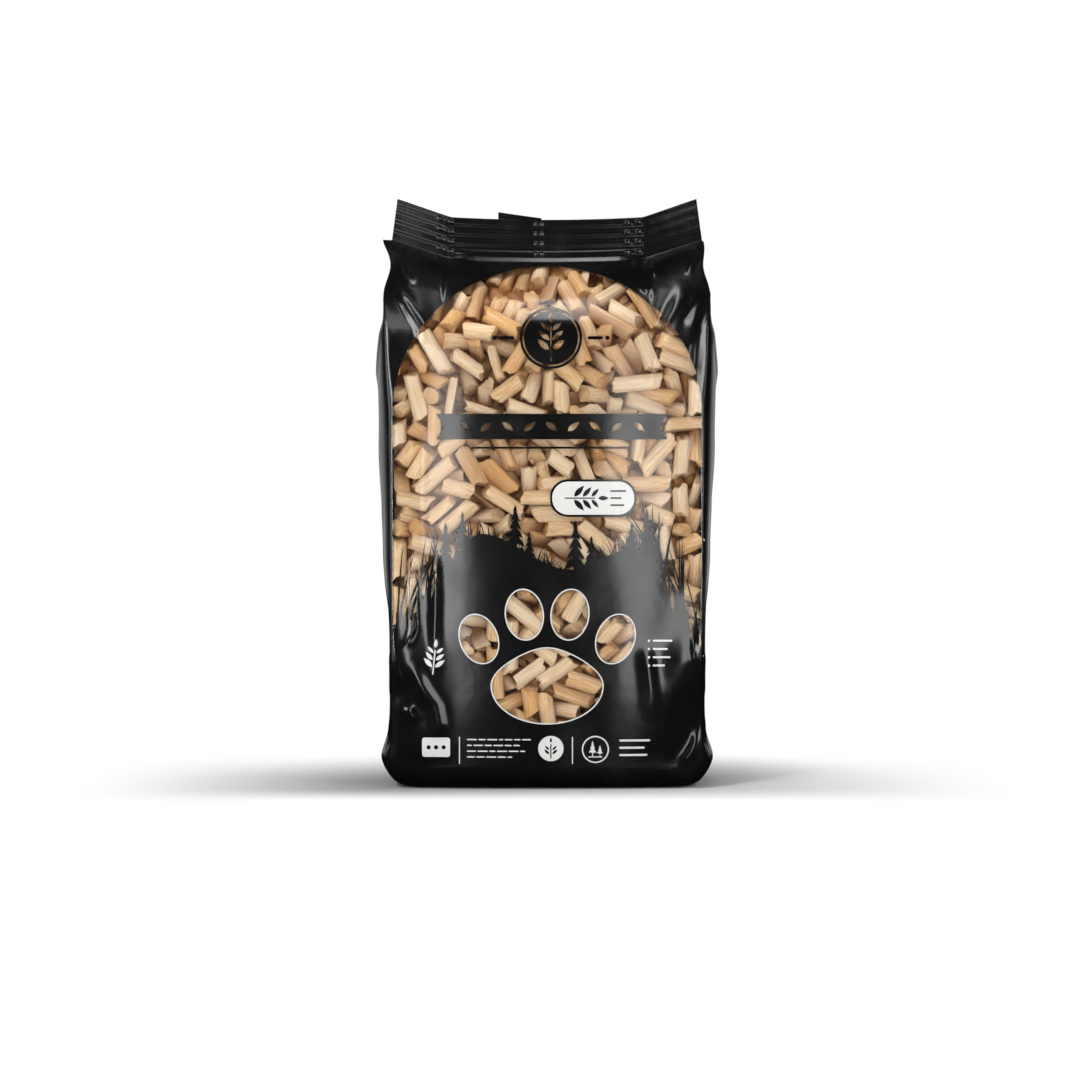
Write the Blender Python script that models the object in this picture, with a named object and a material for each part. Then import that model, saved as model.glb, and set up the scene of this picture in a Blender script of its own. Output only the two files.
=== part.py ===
"""A filled, heat-sealed bag of wood-pellet cat litter: a gusseted film bag with a crimped top seal, a back
fin and clear windows, and the bed of pellets that it holds.

Metres, +Z up. The origin is the middle of the base, the front faces -Y and +X is to the right of the front.
"""

import math
import random

import bmesh
import bpy
from mathutils import Vector

# Film tube
PANEL_WIDTH = 0.338  # front and back panel, from crease to crease
GUSSET_FOLD = 0.064  # how far each side gusset folds in, half the depth of the open bag
BODY_HEIGHT = 0.568  # base to the lower edge of the top seal, at the middle
FILM = 0.0008  # wall of the film
CLEARANCE = 0.0003  # between the film, its clear panes and the pellets

# Filled shape
SHOULDER = 0.092  # height over which the full bag closes to its seal
BASE_RADIUS = 0.024  # rounding round the base
FRONT_SWELL = 0.010  # how far the middle of the front and back stands past the creases
# Creases: share of the body height, and how far they are pushed out there, with a lobe under each seal end
CREASE_SWELL = (
    (0.00, 0.000),
    (0.70, 0.001),
    (0.85, 0.006),
    (0.91, 0.009),
    (0.955, 0.001),
    (0.993, 0.007),
    (1.00, 0.000),
)
# Side gussets: share of the body height, and how far the film swells past the crease there
SIDE_SWELL = (
    (0.00, 0.004),
    (0.07, 0.006),
    (0.16, 0.001),
    (0.28, 0.001),
    (0.45, 0.008),
    (0.66, 0.014),
    (0.78, 0.015),
    (0.90, 0.010),
    (1.00, 0.000),
)

# Top seal
SEAL_HEIGHT = 0.045
SEAL_THICKNESS = 0.0024  # four layers of film, crimped together
SEAL_RIBS = 4
RIB_DEPTH = 0.0011
EAR_RISE = 0.021  # how far the ends of the seal stand above its middle
EAR_LEAN = 0.010  # how far the ends of the seal lean back
SEAL_SAG = 0.003  # dip of the seal's middle
TOP_GAP = 0.0035  # from the seal down to the inside of the film, and from there down to the fill

# Back fin, the lengthwise seam of the film tube
FIN_WIDTH = 0.047
FIN_THICKNESS = 0.0016
FIN_ROOT = -0.006  # where the seam leaves the back panel
FIN_PROUD = 0.008  # how far its free corner stands above the seal

# Bottom seal, folded flat under the base
FOLD_UNDER = 0.045  # depth of the folded strip
FOLD_GROOVE = 0.0016  # width of the line that shows round it
FOLD_RELIEF = 0.0005  # depth of that line

# Clear windows in the printed film
WINDOW_MARGIN = 0.003  # printed edge left beside each crease
WINDOW_HEADROOM = 0.006  # printed edge left under the seal
HILL_FOOT = 0.150  # height of the printed hills at the window's sides
HILL_LEFT = 0.274  # crest of the left hill
HILL_RIGHT = 0.258  # crest of the right hill
HILL_DIP = 0.236  # dip between them
PAD_WIDTH = 0.118  # main pad of the paw-shaped window
PAD_HEIGHT = 0.080
PAD_CENTRE = 0.112
TOE_WIDTH = 0.039
TOE_HEIGHT = 0.053
TOE_SPREAD = 0.0485  # sideways step from toe to toe
TOE_RISE = 0.076  # inner toes above the middle of the pad
TOE_DROP = 0.026  # outer toes below the inner ones

# Pellets
PELLET_DIAMETER = 0.0155
PELLET_SHORT = 0.026
PELLET_LONG = 0.044
PELLET_SIDES = 6
PELLET_SPACING = 0.0008
PELLET_TRIES = 9000
BED_DEPTH = 0.0115  # film to the floor between the topmost pellets

HALF_WIDTH = PANEL_WIDTH / 2
EAR_START = HALF_WIDTH - GUSSET_FOLD  # where the folded gussets end inside the seal
SHOULDER_FOOT = BODY_HEIGHT - SHOULDER
WINDOW_HALF = HALF_WIDTH - WINDOW_MARGIN
ARCH_CENTRE = BODY_HEIGHT - WINDOW_HEADROOM - WINDOW_HALF

# Soft folds in the front and back: start and end as shares of the half width and of the body height,
# then how far the film stands out there (drawn in where less than nothing) and how wide the fold is
FOLDS = (
    ((0.99, 0.99), (0.80, 0.86), 0.0024, 0.024),
    ((0.90, 0.97), (0.74, 0.90), -0.0022, 0.026),
    ((1.00, 0.93), (0.96, 0.80), -0.0025, 0.024),
    ((0.98, 0.34), (0.93, 0.20), 0.0030, 0.026),
    ((0.95, 0.17), (0.78, 0.05), -0.0045, 0.028),
    ((0.88, 0.24), (0.80, 0.09), 0.0030, 0.026),
)
BACK_FOLDS = 0.5  # the same folds on the back, as a share of their depth on the front


def clear_scene():
    for old in list(bpy.data.objects):
        bpy.data.objects.remove(old)


def material(name, colour, roughness, alpha=1.0):
    made = bpy.data.materials.new(name)
    made.use_nodes = True
    shader = made.node_tree.nodes["Principled BSDF"]
    shader.inputs["Base Color"].default_value = (*colour, 1.0)
    shader.inputs["Roughness"].default_value = roughness
    shader.inputs["Metallic"].default_value = 0.0
    shader.inputs["Alpha"].default_value = alpha
    made.diffuse_color = (*colour, alpha)
    return made


def smooth_step(value):
    value = min(max(value, 0.0), 1.0)
    return value * value * (3 - 2 * value)


def along(stations, share):
    """Value at a share of the body height, easing from one station to the next."""
    for (low, first), (high, second) in zip(stations, stations[1:]):
        if share <= high:
            return first + (second - first) * smooth_step((share - low) / (high - low))
    return stations[-1][1]


def closing(height):
    """Share of the full depth that is left at a height: whole up to the shoulder, nothing at the seal."""
    rise = min(max((height - SHOULDER_FOOT) / SHOULDER, 0.0), 1.0)
    return 1.0 - rise**1.8


def tucked_in(height):
    """How far the side gussets have folded in at a height: nothing in the body, wholly at the seal."""
    return smooth_step((height - SHOULDER_FOOT) / SHOULDER * 1.8 - 0.18)


def seal_lift(across):
    """Height of the seal above its middle, at a distance from the middle of the bag."""
    ear = max(0.0, (abs(across) - EAR_START) / GUSSET_FOLD)
    dip = min(1.0, abs(across) / EAR_START)
    return EAR_RISE * ear + SEAL_SAG * dip * dip


def seal_lean(across):
    """How far back the seal lies at a distance from the middle of the bag."""
    return EAR_LEAN * max(0.0, (abs(across) - EAR_START) / GUSSET_FOLD)


def folds_at(across, height):
    """How far the soft folds move the film out, at a place on the front or back."""
    moved = 0.0
    place = Vector((abs(across), height))
    for start, end, depth, width in FOLDS:
        first = Vector((start[0] * HALF_WIDTH, start[1] * BODY_HEIGHT))
        run = Vector((end[0] * HALF_WIDTH, end[1] * BODY_HEIGHT)) - first
        share = min(max((place - first).dot(run) / run.length_squared, 0.0), 1.0)
        gap = (place - first - run * share).length / width
        moved += depth * math.exp(-gap * gap)
    return moved


def panel_point(share, height, side):
    """A point of the front (side -1) or back (side 1) panel; share runs from crease to crease, -1 to 1."""
    across = share * (HALF_WIDTH + along(CREASE_SWELL, height / BODY_HEIGHT) * share**4)
    left = closing(height)
    depth = SEAL_THICKNESS / 2 + (GUSSET_FOLD - SEAL_THICKNESS / 2) * left
    swell = FRONT_SWELL * left * (1.0 - abs(share) ** 2.4)
    standing = smooth_step(height / (2 * BASE_RADIUS))
    depth += swell + folds_at(across, height) * left * standing * (1.0 if side < 0 else BACK_FOLDS)
    near_seal = smooth_step((height - SHOULDER_FOOT) / SHOULDER)
    lifted = height + seal_lift(across) * near_seal
    return Vector((across, side * depth + seal_lean(across) * near_seal, lifted))


def gusset_point(share, height, side, pulled=1.0):
    """A point of a side gusset (side 1 is the right); share runs from the front crease, -1, to the back, 1."""
    front = panel_point(side * pulled, height, -1)
    back = panel_point(side * pulled, height, 1)
    middle = (front + back) / 2
    half_depth = (back - front).y / 2
    tip = HALF_WIDTH - math.sqrt(max(GUSSET_FOLD**2 - half_depth**2, 0.0))
    swollen = HALF_WIDTH + along(SIDE_SWELL, height / BODY_HEIGHT)
    tucked = tucked_in(height)
    out = swollen + (tip - swollen) * tucked - abs(middle.x) - TIP_ROOM * (1.0 - pulled)
    power = 2.2 - 1.2 * tucked
    inward = 1.0 - abs(share) ** power
    near_seal = smooth_step((height - SHOULDER_FOOT) / SHOULDER)
    place = abs(middle.x) + out
    drop = (seal_lift(place) - seal_lift(middle.x)) * near_seal * inward
    lean = (seal_lean(place) - seal_lean(middle.x)) * near_seal * inward
    return middle + Vector((side * out * inward, share * half_depth + lean, drop))


INSIDE_SHORT = 0.43  # share of the panel that the inside of the film leaves out, under the seal's ends
TIP_ROOM = 0.030  # scales how far the inside stands off the folded gussets' inner edges
EAR_STEPS = 3
INNER_SHARES = [0.0, 0.21, 0.42, EAR_START / HALF_WIDTH]
EAR_SHARES = [1 - GUSSET_FOLD / HALF_WIDTH * (1 - step / EAR_STEPS) for step in range(1, EAR_STEPS + 1)]
PANEL_SHARES = INNER_SHARES + EAR_SHARES


def both_ways(shares):
    return [-share for share in reversed(shares[1:])] + list(shares)


def ring(height, short=0.0):
    """One level section of the bag, anticlockwise from the front's left crease.

    Inside the bag the folded gussets meet their panels, so there the section stops short of the creases.
    """
    pulled = 1.0 - short * tucked_in(height)
    shares = [share * pulled for share in both_ways(PANEL_SHARES)]
    steps = [step / EAR_STEPS - 1.0 for step in range(1, 2 * EAR_STEPS)]
    points = [panel_point(share, height, -1) for share in shares]
    points += [gusset_point(share, height, 1, pulled) for share in steps]
    points += [panel_point(-share, height, 1) for share in shares]
    points += [gusset_point(-share, height, -1, pulled) for share in steps]
    if height < BASE_RADIUS:
        inset = BASE_RADIUS - math.sqrt(BASE_RADIUS**2 - (BASE_RADIUS - height) ** 2)
        for point in points:
            point.x *= 1.0 - inset / HALF_WIDTH
            point.y *= 1.0 - inset / GUSSET_FOLD
    return points


def cap_faces(count):
    """Faces that close a section, as indices into its ring: strips between front and back, and in the ears."""
    across = 2 * (len(PANEL_SHARES) - 1)
    right = list(range(across + 1, across + 2 * EAR_STEPS))
    back = [across + 2 * EAR_STEPS + across - index for index in range(across + 1)]
    left = list(range(count - 1, count - 2 * EAR_STEPS, -1))
    faces = []
    for index in range(EAR_STEPS, across - EAR_STEPS):
        faces.append((index, index + 1, back[index + 1], back[index]))
    tip = EAR_STEPS - 1
    faces.append((across - EAR_STEPS, right[tip], back[across - EAR_STEPS]))
    faces.append((EAR_STEPS, back[EAR_STEPS], left[tip]))
    for step in range(EAR_STEPS):
        at = across - EAR_STEPS + step
        front_wall = [right[tip - step], right[tip - step - 1] if step < tip else None]
        back_wall = [right[tip + step], right[tip + step + 1] if step < tip else None]
        faces.append((at, at + 1, front_wall[1], front_wall[0]))
        faces.append((back_wall[0], back_wall[1], back[at + 1], back[at]))
        at = EAR_STEPS - step
        front_wall = [left[tip - step], left[tip - step - 1] if step < tip else None]
        back_wall = [left[tip + step], left[tip + step + 1] if step < tip else None]
        faces.append((front_wall[0], front_wall[1], at - 1, at))
        faces.append((back[at], back[at - 1], back_wall[1], back_wall[0]))
    return [[index for index in face if index is not None] for face in faces]


def ring_heights(left_out=0):
    """Levels from the base to the seal; the inside of the film and the fill leave out the last of them."""
    low = [BASE_RADIUS * (1 - math.cos(math.pi / 2 * step / 3)) for step in range(3)]
    body_steps = 10
    body = [
        BASE_RADIUS + (SHOULDER_FOOT - BASE_RADIUS) * step / body_steps for step in range(body_steps)
    ]
    turn_steps = 7
    fill_top = BODY_HEIGHT - 2 * TOP_GAP
    turn = [
        SHOULDER_FOOT + (fill_top - SHOULDER_FOOT) * step / turn_steps for step in range(turn_steps + 1)
    ]
    levels = low + body + turn + [BODY_HEIGHT - TOP_GAP, BODY_HEIGHT]
    return levels[: len(levels) - left_out]


def closed_loft(rings, inset=0.0):
    """A closed solid through the rings; inset draws its surface in along the normals."""
    shape = bmesh.new()
    rows = [[shape.verts.new(point) for point in points] for points in rings]
    for lower, upper in zip(rows, rows[1:]):
        for index, vertex in enumerate(lower):
            after = (index + 1) % len(lower)
            shape.faces.new((vertex, lower[after], upper[after]))
            shape.faces.new((vertex, upper[after], upper[index]))
    if len(rings[0]) > 4:
        for face in cap_faces(len(rings[0])):
            for corner in range(1, len(face) - 1):
                shape.faces.new([rows[0][face[index]] for index in (corner + 1, corner, 0)])
                shape.faces.new([rows[-1][face[index]] for index in (0, corner, corner + 1)])
    else:
        shape.faces.new(list(reversed(rows[0])))
        shape.faces.new(rows[-1])
    shape.normal_update()
    if inset:
        moved = [
            vertex.co - vertex.normal * inset * min(vertex.calc_shell_factor(), 5.0) for vertex in shape.verts
        ]
        for vertex, place in zip(shape.verts, moved):
            vertex.co = place
    bmesh.ops.triangulate(shape, faces=shape.faces)
    return shape


def add_object(name, shape, finish=None, helper=False):
    mesh = bpy.data.meshes.new(name)
    shape.to_mesh(mesh)
    shape.free()
    made = bpy.data.objects.new(name, mesh)
    bpy.context.scene.collection.objects.link(made)
    if finish:
        mesh.materials.append(finish)
    if helper:
        made.hide_render = True
        made.display_type = "WIRE"
    else:
        mesh.shade_smooth()
        mesh.set_sharp_from_angle(angle=math.radians(32))
    return made


def combine(target, other, operation):
    step = target.modifiers.new(f"{operation.lower()} {other.name}", "BOOLEAN")
    step.operation = operation
    step.solver = "EXACT"
    step.object = other


def bag_solid():
    return closed_loft([ring(height) for height in ring_heights()])


def inner_solid(inset, left_out):
    return closed_loft([ring(height, INSIDE_SHORT) for height in ring_heights(left_out)], inset)


def seal_band():
    """The crimped top seal: a ribbed strip that follows the seal line, with its ends standing up as ears."""
    columns = [share * HALF_WIDTH for share in both_ways((0.0, 0.35, EAR_START / HALF_WIDTH, 0.7, 0.85, 1.0))]
    steps = SEAL_RIBS * 4
    overlap = 0.004
    shape = bmesh.new()
    faces = {-1: [], 1: []}
    for across in columns:
        foot = BODY_HEIGHT + seal_lift(across) - overlap
        for side, rows in faces.items():
            column = []
            for step in range(steps + 1):
                share = step / steps
                rib = RIB_DEPTH * math.sin(2 * math.pi * SEAL_RIBS * share)
                narrowed = across * (1 - 0.035 * share * smooth_step(abs(across) / HALF_WIDTH * 2 - 1))
                y = seal_lean(across) * (1 + 0.4 * share) + rib + side * SEAL_THICKNESS / 2
                column.append(shape.verts.new((narrowed, y, foot + (SEAL_HEIGHT + overlap) * share)))
            rows.append(column)
    front, back = faces[-1], faces[1]
    for first, second in zip(range(len(columns)), range(1, len(columns))):
        for step in range(steps):
            shape.faces.new((front[first][step], front[second][step], front[second][step + 1], front[first][step + 1]))
            shape.faces.new((back[second][step], back[first][step], back[first][step + 1], back[second][step + 1]))
        shape.faces.new((back[first][0], back[second][0], front[second][0], front[first][0]))
        shape.faces.new((front[first][-1], front[second][-1], back[second][-1], back[first][-1]))
    for step in range(steps):
        shape.faces.new((back[0][step], front[0][step], front[0][step + 1], back[0][step + 1]))
        shape.faces.new((front[-1][step], back[-1][step], back[-1][step + 1], front[-1][step + 1]))
    bmesh.ops.triangulate(shape, faces=shape.faces)
    return shape


def fin_strip():
    """The back seam: a flat strip that follows the back panel, with its free corner above the seal."""
    seated = FILM / 2
    levels = [2 * BASE_RADIUS + (SHOULDER_FOOT - 2 * BASE_RADIUS) * step / 8 for step in range(8)]
    levels += [SHOULDER_FOOT + SHOULDER * step / 8 for step in range(9)]
    top = BODY_HEIGHT + SEAL_HEIGHT
    rings = []
    for height in levels + [top]:
        corners = []
        for across, lifted in ((FIN_ROOT, 0.0), (FIN_ROOT - FIN_WIDTH, 0.0006)):
            on_body = panel_point(across / HALF_WIDTH, min(height, BODY_HEIGHT), 1)
            surface = max(on_body.y, SEAL_THICKNESS / 2 + RIB_DEPTH / 2)
            proud = FIN_PROUD * (1.0 if lifted else 0.25) if height == top else 0.0
            level = on_body.z + max(0.0, height - BODY_HEIGHT) + proud
            corners.append((across, surface - seated, surface + FIN_THICKNESS + lifted, level))
        root, free = corners
        rings.append(
            [
                Vector((free[0], free[1], free[3])),
                Vector((root[0], root[1], root[3])),
                Vector((root[0], root[2], root[3])),
                Vector((free[0], free[2], free[3])),
            ]
        )
    return closed_loft(rings)


def fold_line():
    """The line round the folded bottom seal: a shallow groove in the base, cut by a frame."""
    half_length = HALF_WIDTH - 1.8 * BASE_RADIUS
    front, back = -FOLD_UNDER / 2, FOLD_UNDER / 2
    outer = [(-half_length, front), (half_length, front), (half_length, back), (-half_length, back)]
    inner = [
        (x - math.copysign(FOLD_GROOVE, x), y - math.copysign(FOLD_GROOVE, y)) for x, y in outer
    ]
    shape = bmesh.new()
    low, high = -0.01, FOLD_RELIEF
    loops = [[shape.verts.new((x, y, z)) for x, y in line] for line in (outer, inner) for z in (low, high)]
    outer_low, outer_high, inner_low, inner_high = loops
    for index in range(4):
        after = (index + 1) % 4
        shape.faces.new((outer_low[index], outer_low[after], outer_high[after], outer_high[index]))
        shape.faces.new((inner_low[after], inner_low[index], inner_high[index], inner_high[after]))
        shape.faces.new((outer_high[index], outer_high[after], inner_high[after], inner_high[index]))
        shape.faces.new((outer_low[after], outer_low[index], inner_low[index], inner_low[after]))
    return shape


def hill_height(across):
    """Upper edge of the printed hills, at a distance across the front."""
    share = across / WINDOW_HALF
    stations = (
        (-1.0, HILL_FOOT),
        (-0.42, HILL_LEFT),
        (0.14, HILL_DIP),
        (0.55, HILL_RIGHT),
        (1.0, HILL_FOOT),
    )
    return along(stations, share)


def arch_outline(grow=0.0):
    """The main window: a half-round arch over straight sides, with the hills as its lower edge."""
    half = WINDOW_HALF + grow
    arc_steps = 28
    points = [
        (half * math.cos(math.pi * step / arc_steps), ARCH_CENTRE + half * math.sin(math.pi * step / arc_steps))
        for step in range(arc_steps + 1)
    ]
    hill_steps = 20
    for step in range(hill_steps + 1):
        across = -half + 2 * half * step / hill_steps
        points.append((across, hill_height(across) - grow))
    return points


def oval_outline(centre, width, height, turn, grow=0.0, point_down=0.0):
    """An oval; point_down draws its upper half in, which makes the paw's main pad."""
    points = []
    steps = 22
    for step in range(steps):
        angle = 2 * math.pi * (step + 0.5) / steps
        x = (width / 2 + grow) * math.cos(angle)
        z = (height / 2 + grow) * math.sin(angle)
        x *= 1.0 - point_down * max(0.0, math.sin(angle)) ** 2
        points.append(
            (
                centre[0] + x * math.cos(turn) - z * math.sin(turn),
                centre[1] + x * math.sin(turn) + z * math.cos(turn),
            )
        )
    return points


def window_outlines(grow=0.0):
    """Every clear area of the printed film, by the name of its pane."""
    outlines = {"window_film": arch_outline(grow)}
    outlines["pad_window_film"] = oval_outline(
        (0.0, PAD_CENTRE), PAD_WIDTH, PAD_HEIGHT, 0.0, grow, point_down=0.34
    )
    for number, place in enumerate((-1.5, -0.5, 0.5, 1.5), start=1):
        outer = abs(place) > 1
        centre = (place * TOE_SPREAD, PAD_CENTRE + TOE_RISE - (TOE_DROP if outer else 0.0))
        turn = -place * math.radians(14)
        outlines[f"toe_window_film_{number}"] = oval_outline(centre, TOE_WIDTH, TOE_HEIGHT, turn, grow)
    return outlines


def front_prism(outline):
    """A prism through the front wall only, from well in front of it to the middle of the bag."""
    near, far = -(GUSSET_FOLD + FRONT_SWELL + 0.05), -0.0005
    shape = bmesh.new()
    front = [shape.verts.new((x, near, z)) for x, z in outline]
    back = [shape.verts.new((x, far, z)) for x, z in outline]
    for index in range(len(outline)):
        after = (index + 1) % len(outline)
        shape.faces.new((front[after], front[index], back[index], back[after]))
    shape.faces.new(front)
    shape.faces.new(list(reversed(back)))
    bmesh.ops.recalc_face_normals(shape, faces=shape.faces)
    bmesh.ops.triangulate(shape, faces=shape.faces)
    return shape


def window_reach(height):
    """Half the width of the main window at a height."""
    above = max(0.0, height - ARCH_CENTRE)
    return math.sqrt(max(WINDOW_HALF**2 - above**2, 0.0))


def fill_solid():
    """The pellets below the topmost layer, as one solid: the bag's inside, drawn back a layer at the front."""
    rings = []
    for height in ring_heights(left_out=2):
        middle_depth = abs(panel_point(0.0, height, -1).y)
        drawn = min(BED_DEPTH, 0.6 * middle_depth) / middle_depth
        points = ring(height, INSIDE_SHORT)
        for point in points:
            share = (window_reach(height) + 0.004 - abs(point.x)) / 0.012
            if point.y < 0:
                point.y *= 1.0 - drawn * min(max(share, 0.0), 1.0)
        rings.append(points)
    return closed_loft(rings, FILM + CLEARANCE)


def apart(first, second):
    """Whether two pellets, each as (middle, direction, length), lie clear of each other seen from the front."""
    between = second[0] - first[0]
    for _, way, _ in (first, second):
        for axis in (way, Vector((-way.y, way.x))):
            reach = PELLET_SPACING
            for _, other, length in (first, second):
                reach += abs(other.dot(axis)) * length / 2
                reach += abs(other.x * axis.y - other.y * axis.x) * PELLET_DIAMETER / 2
            if abs(between.dot(axis)) > reach:
                return True
    return False


def pellet_places():
    """Where the topmost pellets lie behind the windows: seeded tries, keeping those that touch no other."""
    chance = random.Random(15)
    kept = []
    low = PAD_CENTRE - PAD_HEIGHT / 2
    top = ARCH_CENTRE + WINDOW_HALF
    edge = WINDOW_HALF - PELLET_DIAMETER * 0.6
    for _ in range(PELLET_TRIES):
        middle = Vector((chance.uniform(-WINDOW_HALF, WINDOW_HALF), chance.uniform(low, top)))
        angle = chance.uniform(0, math.pi)
        way = Vector((math.cos(angle), math.sin(angle)))
        length = chance.uniform(PELLET_SHORT, PELLET_LONG)
        pellet = (middle, way, length)
        ends = (middle - way * length / 2, middle + way * length / 2)
        if not behind_window(middle) or any(abs(end.x) > edge or end.y > top for end in ends):
            continue
        if all(apart(pellet, other) for other in kept):
            kept.append(pellet)
    return kept


def behind_window(place):
    if place.y > ARCH_CENTRE:
        return (place - Vector((0.0, ARCH_CENTRE))).length < WINDOW_HALF - PELLET_DIAMETER * 0.3
    if place.y > hill_height(place.x) - PELLET_DIAMETER * 0.2:
        return True
    paw_half = max(PAD_WIDTH / 2, 1.5 * TOE_SPREAD + TOE_WIDTH / 2)
    return abs(place.x) < paw_half and place.y < PAD_CENTRE + TOE_RISE + TOE_HEIGHT / 2


def pellet_layer():
    """The topmost pellets: short faceted rods that lie along the film."""
    shape = bmesh.new()
    radius = PELLET_DIAMETER / 2
    for middle, way, length in pellet_places():
        ends = []
        for place, sink in ((middle - way * length / 2, 0.0009), (middle + way * length / 2, 0.0)):
            front = panel_point(place.x / HALF_WIDTH, min(place.y, BODY_HEIGHT - 0.012), -1)
            depth = FILM + CLEARANCE + radius * 0.96 + sink
            ends.append(Vector((place.x, front.y + depth, place.y)))
        run = (ends[1] - ends[0]).normalized()
        side = run.cross(Vector((0, 1, 0))).normalized()
        up = side.cross(run)
        rows = []
        for end, reach in ((ends[0], 1), (ends[1], -1)):
            row = []
            for step in range(PELLET_SIDES):
                angle = 2 * math.pi * (step + 0.5) / PELLET_SIDES
                out = side * math.cos(angle) * radius + up * math.sin(angle) * radius
                row.append(shape.verts.new(end + out))
            rows.append(row)
        first, second = rows
        for step in range(PELLET_SIDES):
            after = (step + 1) % PELLET_SIDES
            shape.faces.new((first[step], first[after], second[after], second[step]))
        shape.faces.new(list(reversed(first)))
        shape.faces.new(second)
    bmesh.ops.recalc_face_normals(shape, faces=shape.faces)
    bmesh.ops.triangulate(shape, faces=shape.faces)
    return shape


def build_film(black, clear):
    """The printed bag with its windows cut out, and a clear pane in each window."""
    inside = add_object("inside_of_film", inner_solid(FILM, 1), helper=True)
    band = add_object("seal_band_shape", seal_band(), helper=True)
    fin = add_object("fin_shape", fin_strip(), helper=True)
    groove = add_object("fold_line_shape", fold_line(), helper=True)
    bag = add_object("film_bag", bag_solid(), black)
    combine(bag, band, "UNION")
    combine(bag, fin, "UNION")
    combine(bag, groove, "DIFFERENCE")
    combine(bag, inside, "DIFFERENCE")
    panes = window_outlines(-CLEARANCE)
    for name, outline in window_outlines().items():
        opening = add_object(f"{name}_opening", front_prism(outline), helper=True)
        combine(bag, opening, "DIFFERENCE")
        pane_prism = add_object(f"{name}_prism", front_prism(panes[name]), helper=True)
        pane = add_object(name, bag_solid(), clear)
        combine(pane, pane_prism, "INTERSECT")
        combine(pane, inside, "DIFFERENCE")


def build_pellets(wood):
    """The fill of the bag, with the topmost pellets showing behind the windows."""
    limit = add_object("pellet_limit", inner_solid(FILM + CLEARANCE, 2), helper=True)
    layer = add_object("pellet_layer_shape", pellet_layer(), helper=True)
    combine(layer, limit, "INTERSECT")
    fill = add_object("pellets", fill_solid(), wood)
    combine(fill, layer, "UNION")


def main():
    clear_scene()
    black = material("black_film", (0.012, 0.012, 0.013), 0.22)
    clear = material("clear_film", (0.95, 0.95, 0.95), 0.08, alpha=0.2)
    wood = material("wood_pellets", (0.72, 0.47, 0.25), 0.8)
    build_film(black, clear)
    build_pellets(wood)


main()
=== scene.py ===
"""A filled, heat-sealed bag of wood-pellet cat litter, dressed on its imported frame: the printed film with its
crimped seal and creases, the clear panes, the back seam, the folded bottom seal and the pellets behind them.

Metres, +Z up, the front faces -Y. Run as a script in Blender 4.5.
"""

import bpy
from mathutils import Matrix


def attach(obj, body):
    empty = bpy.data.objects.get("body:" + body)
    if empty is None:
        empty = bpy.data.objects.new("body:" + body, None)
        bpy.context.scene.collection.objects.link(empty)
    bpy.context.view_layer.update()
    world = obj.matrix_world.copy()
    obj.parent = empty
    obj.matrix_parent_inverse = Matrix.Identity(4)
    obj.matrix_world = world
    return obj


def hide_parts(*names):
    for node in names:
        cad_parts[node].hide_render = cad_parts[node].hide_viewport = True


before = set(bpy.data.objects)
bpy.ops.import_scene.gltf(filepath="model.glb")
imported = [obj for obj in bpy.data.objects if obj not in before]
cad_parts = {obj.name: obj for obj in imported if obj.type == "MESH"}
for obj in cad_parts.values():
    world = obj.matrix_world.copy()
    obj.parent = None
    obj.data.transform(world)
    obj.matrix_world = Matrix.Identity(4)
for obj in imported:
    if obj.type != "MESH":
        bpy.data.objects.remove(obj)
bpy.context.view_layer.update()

import math

import bmesh
import bpy
import numpy as np
from mathutils import Quaternion, Vector, kdtree
from mathutils.geometry import delaunay_2d_cdt

bl_info = {
    "name": "Bag of Wood-Pellet Litter",
    "version": (1, 0, 0),
    "blender": (4, 5, 0),
    "location": "3D View > Sidebar > Litter Bag",
    "description": "Makes the film, panes, print, seams, pellets and studio of a filled litter bag",
    "category": "Add Mesh",
}

# Film tube and filled shape, as in the solids
HALF_WIDTH = 0.169
GUSSET_FOLD = 0.064
BODY_HEIGHT = 0.568
FILM = 0.0008
SHOULDER = 0.092
BASE_RADIUS = 0.024
FRONT_SWELL = 0.010
CREASE_SWELL = (
    (0.00, 0.000),
    (0.70, 0.001),
    (0.85, 0.006),
    (0.91, 0.009),
    (0.955, 0.001),
    (0.993, 0.007),
    (1.00, 0.000),
)
SIDE_SWELL = (
    (0.00, 0.004),
    (0.07, 0.006),
    (0.16, 0.001),
    (0.28, 0.001),
    (0.45, 0.008),
    (0.66, 0.014),
    (0.78, 0.015),
    (0.90, 0.010),
    (1.00, 0.000),
)
SEAL_HEIGHT = 0.045
SEAL_THICKNESS = 0.0024
SEAL_RIBS = 4
EAR_RISE = 0.021
EAR_LEAN = 0.010
SEAL_SAG = 0.003
FIN_ROOT = -0.006
FIN_WIDTH = 0.047
FIN_PROUD = 0.008
FOLD_UNDER = 0.045
WINDOW_MARGIN = 0.003
WINDOW_HEADROOM = 0.006
HILL_FOOT = 0.150
HILL_LEFT = 0.274
HILL_RIGHT = 0.258
HILL_DIP = 0.236
PAD_WIDTH = 0.118
PAD_HEIGHT = 0.080
PAD_CENTRE = 0.112
TOE_WIDTH = 0.039
TOE_HEIGHT = 0.053
TOE_SPREAD = 0.0485
TOE_RISE = 0.076
TOE_DROP = 0.026

# Dressing of the film: rounding under the seal, the dip beside it, and the smallest clear areas left in the print
NECK_ROUNDING = 0.0058
LOBE_PLACE = 0.5645
LOBE_DIP = 0.0038
RIB_WAVES = SEAL_RIBS + 0.25
SPECK_AREA = 1.6e-6
SLIVER_AREA = 1.3e-5
SLIVER_HEIGHT = 0.190

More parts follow.
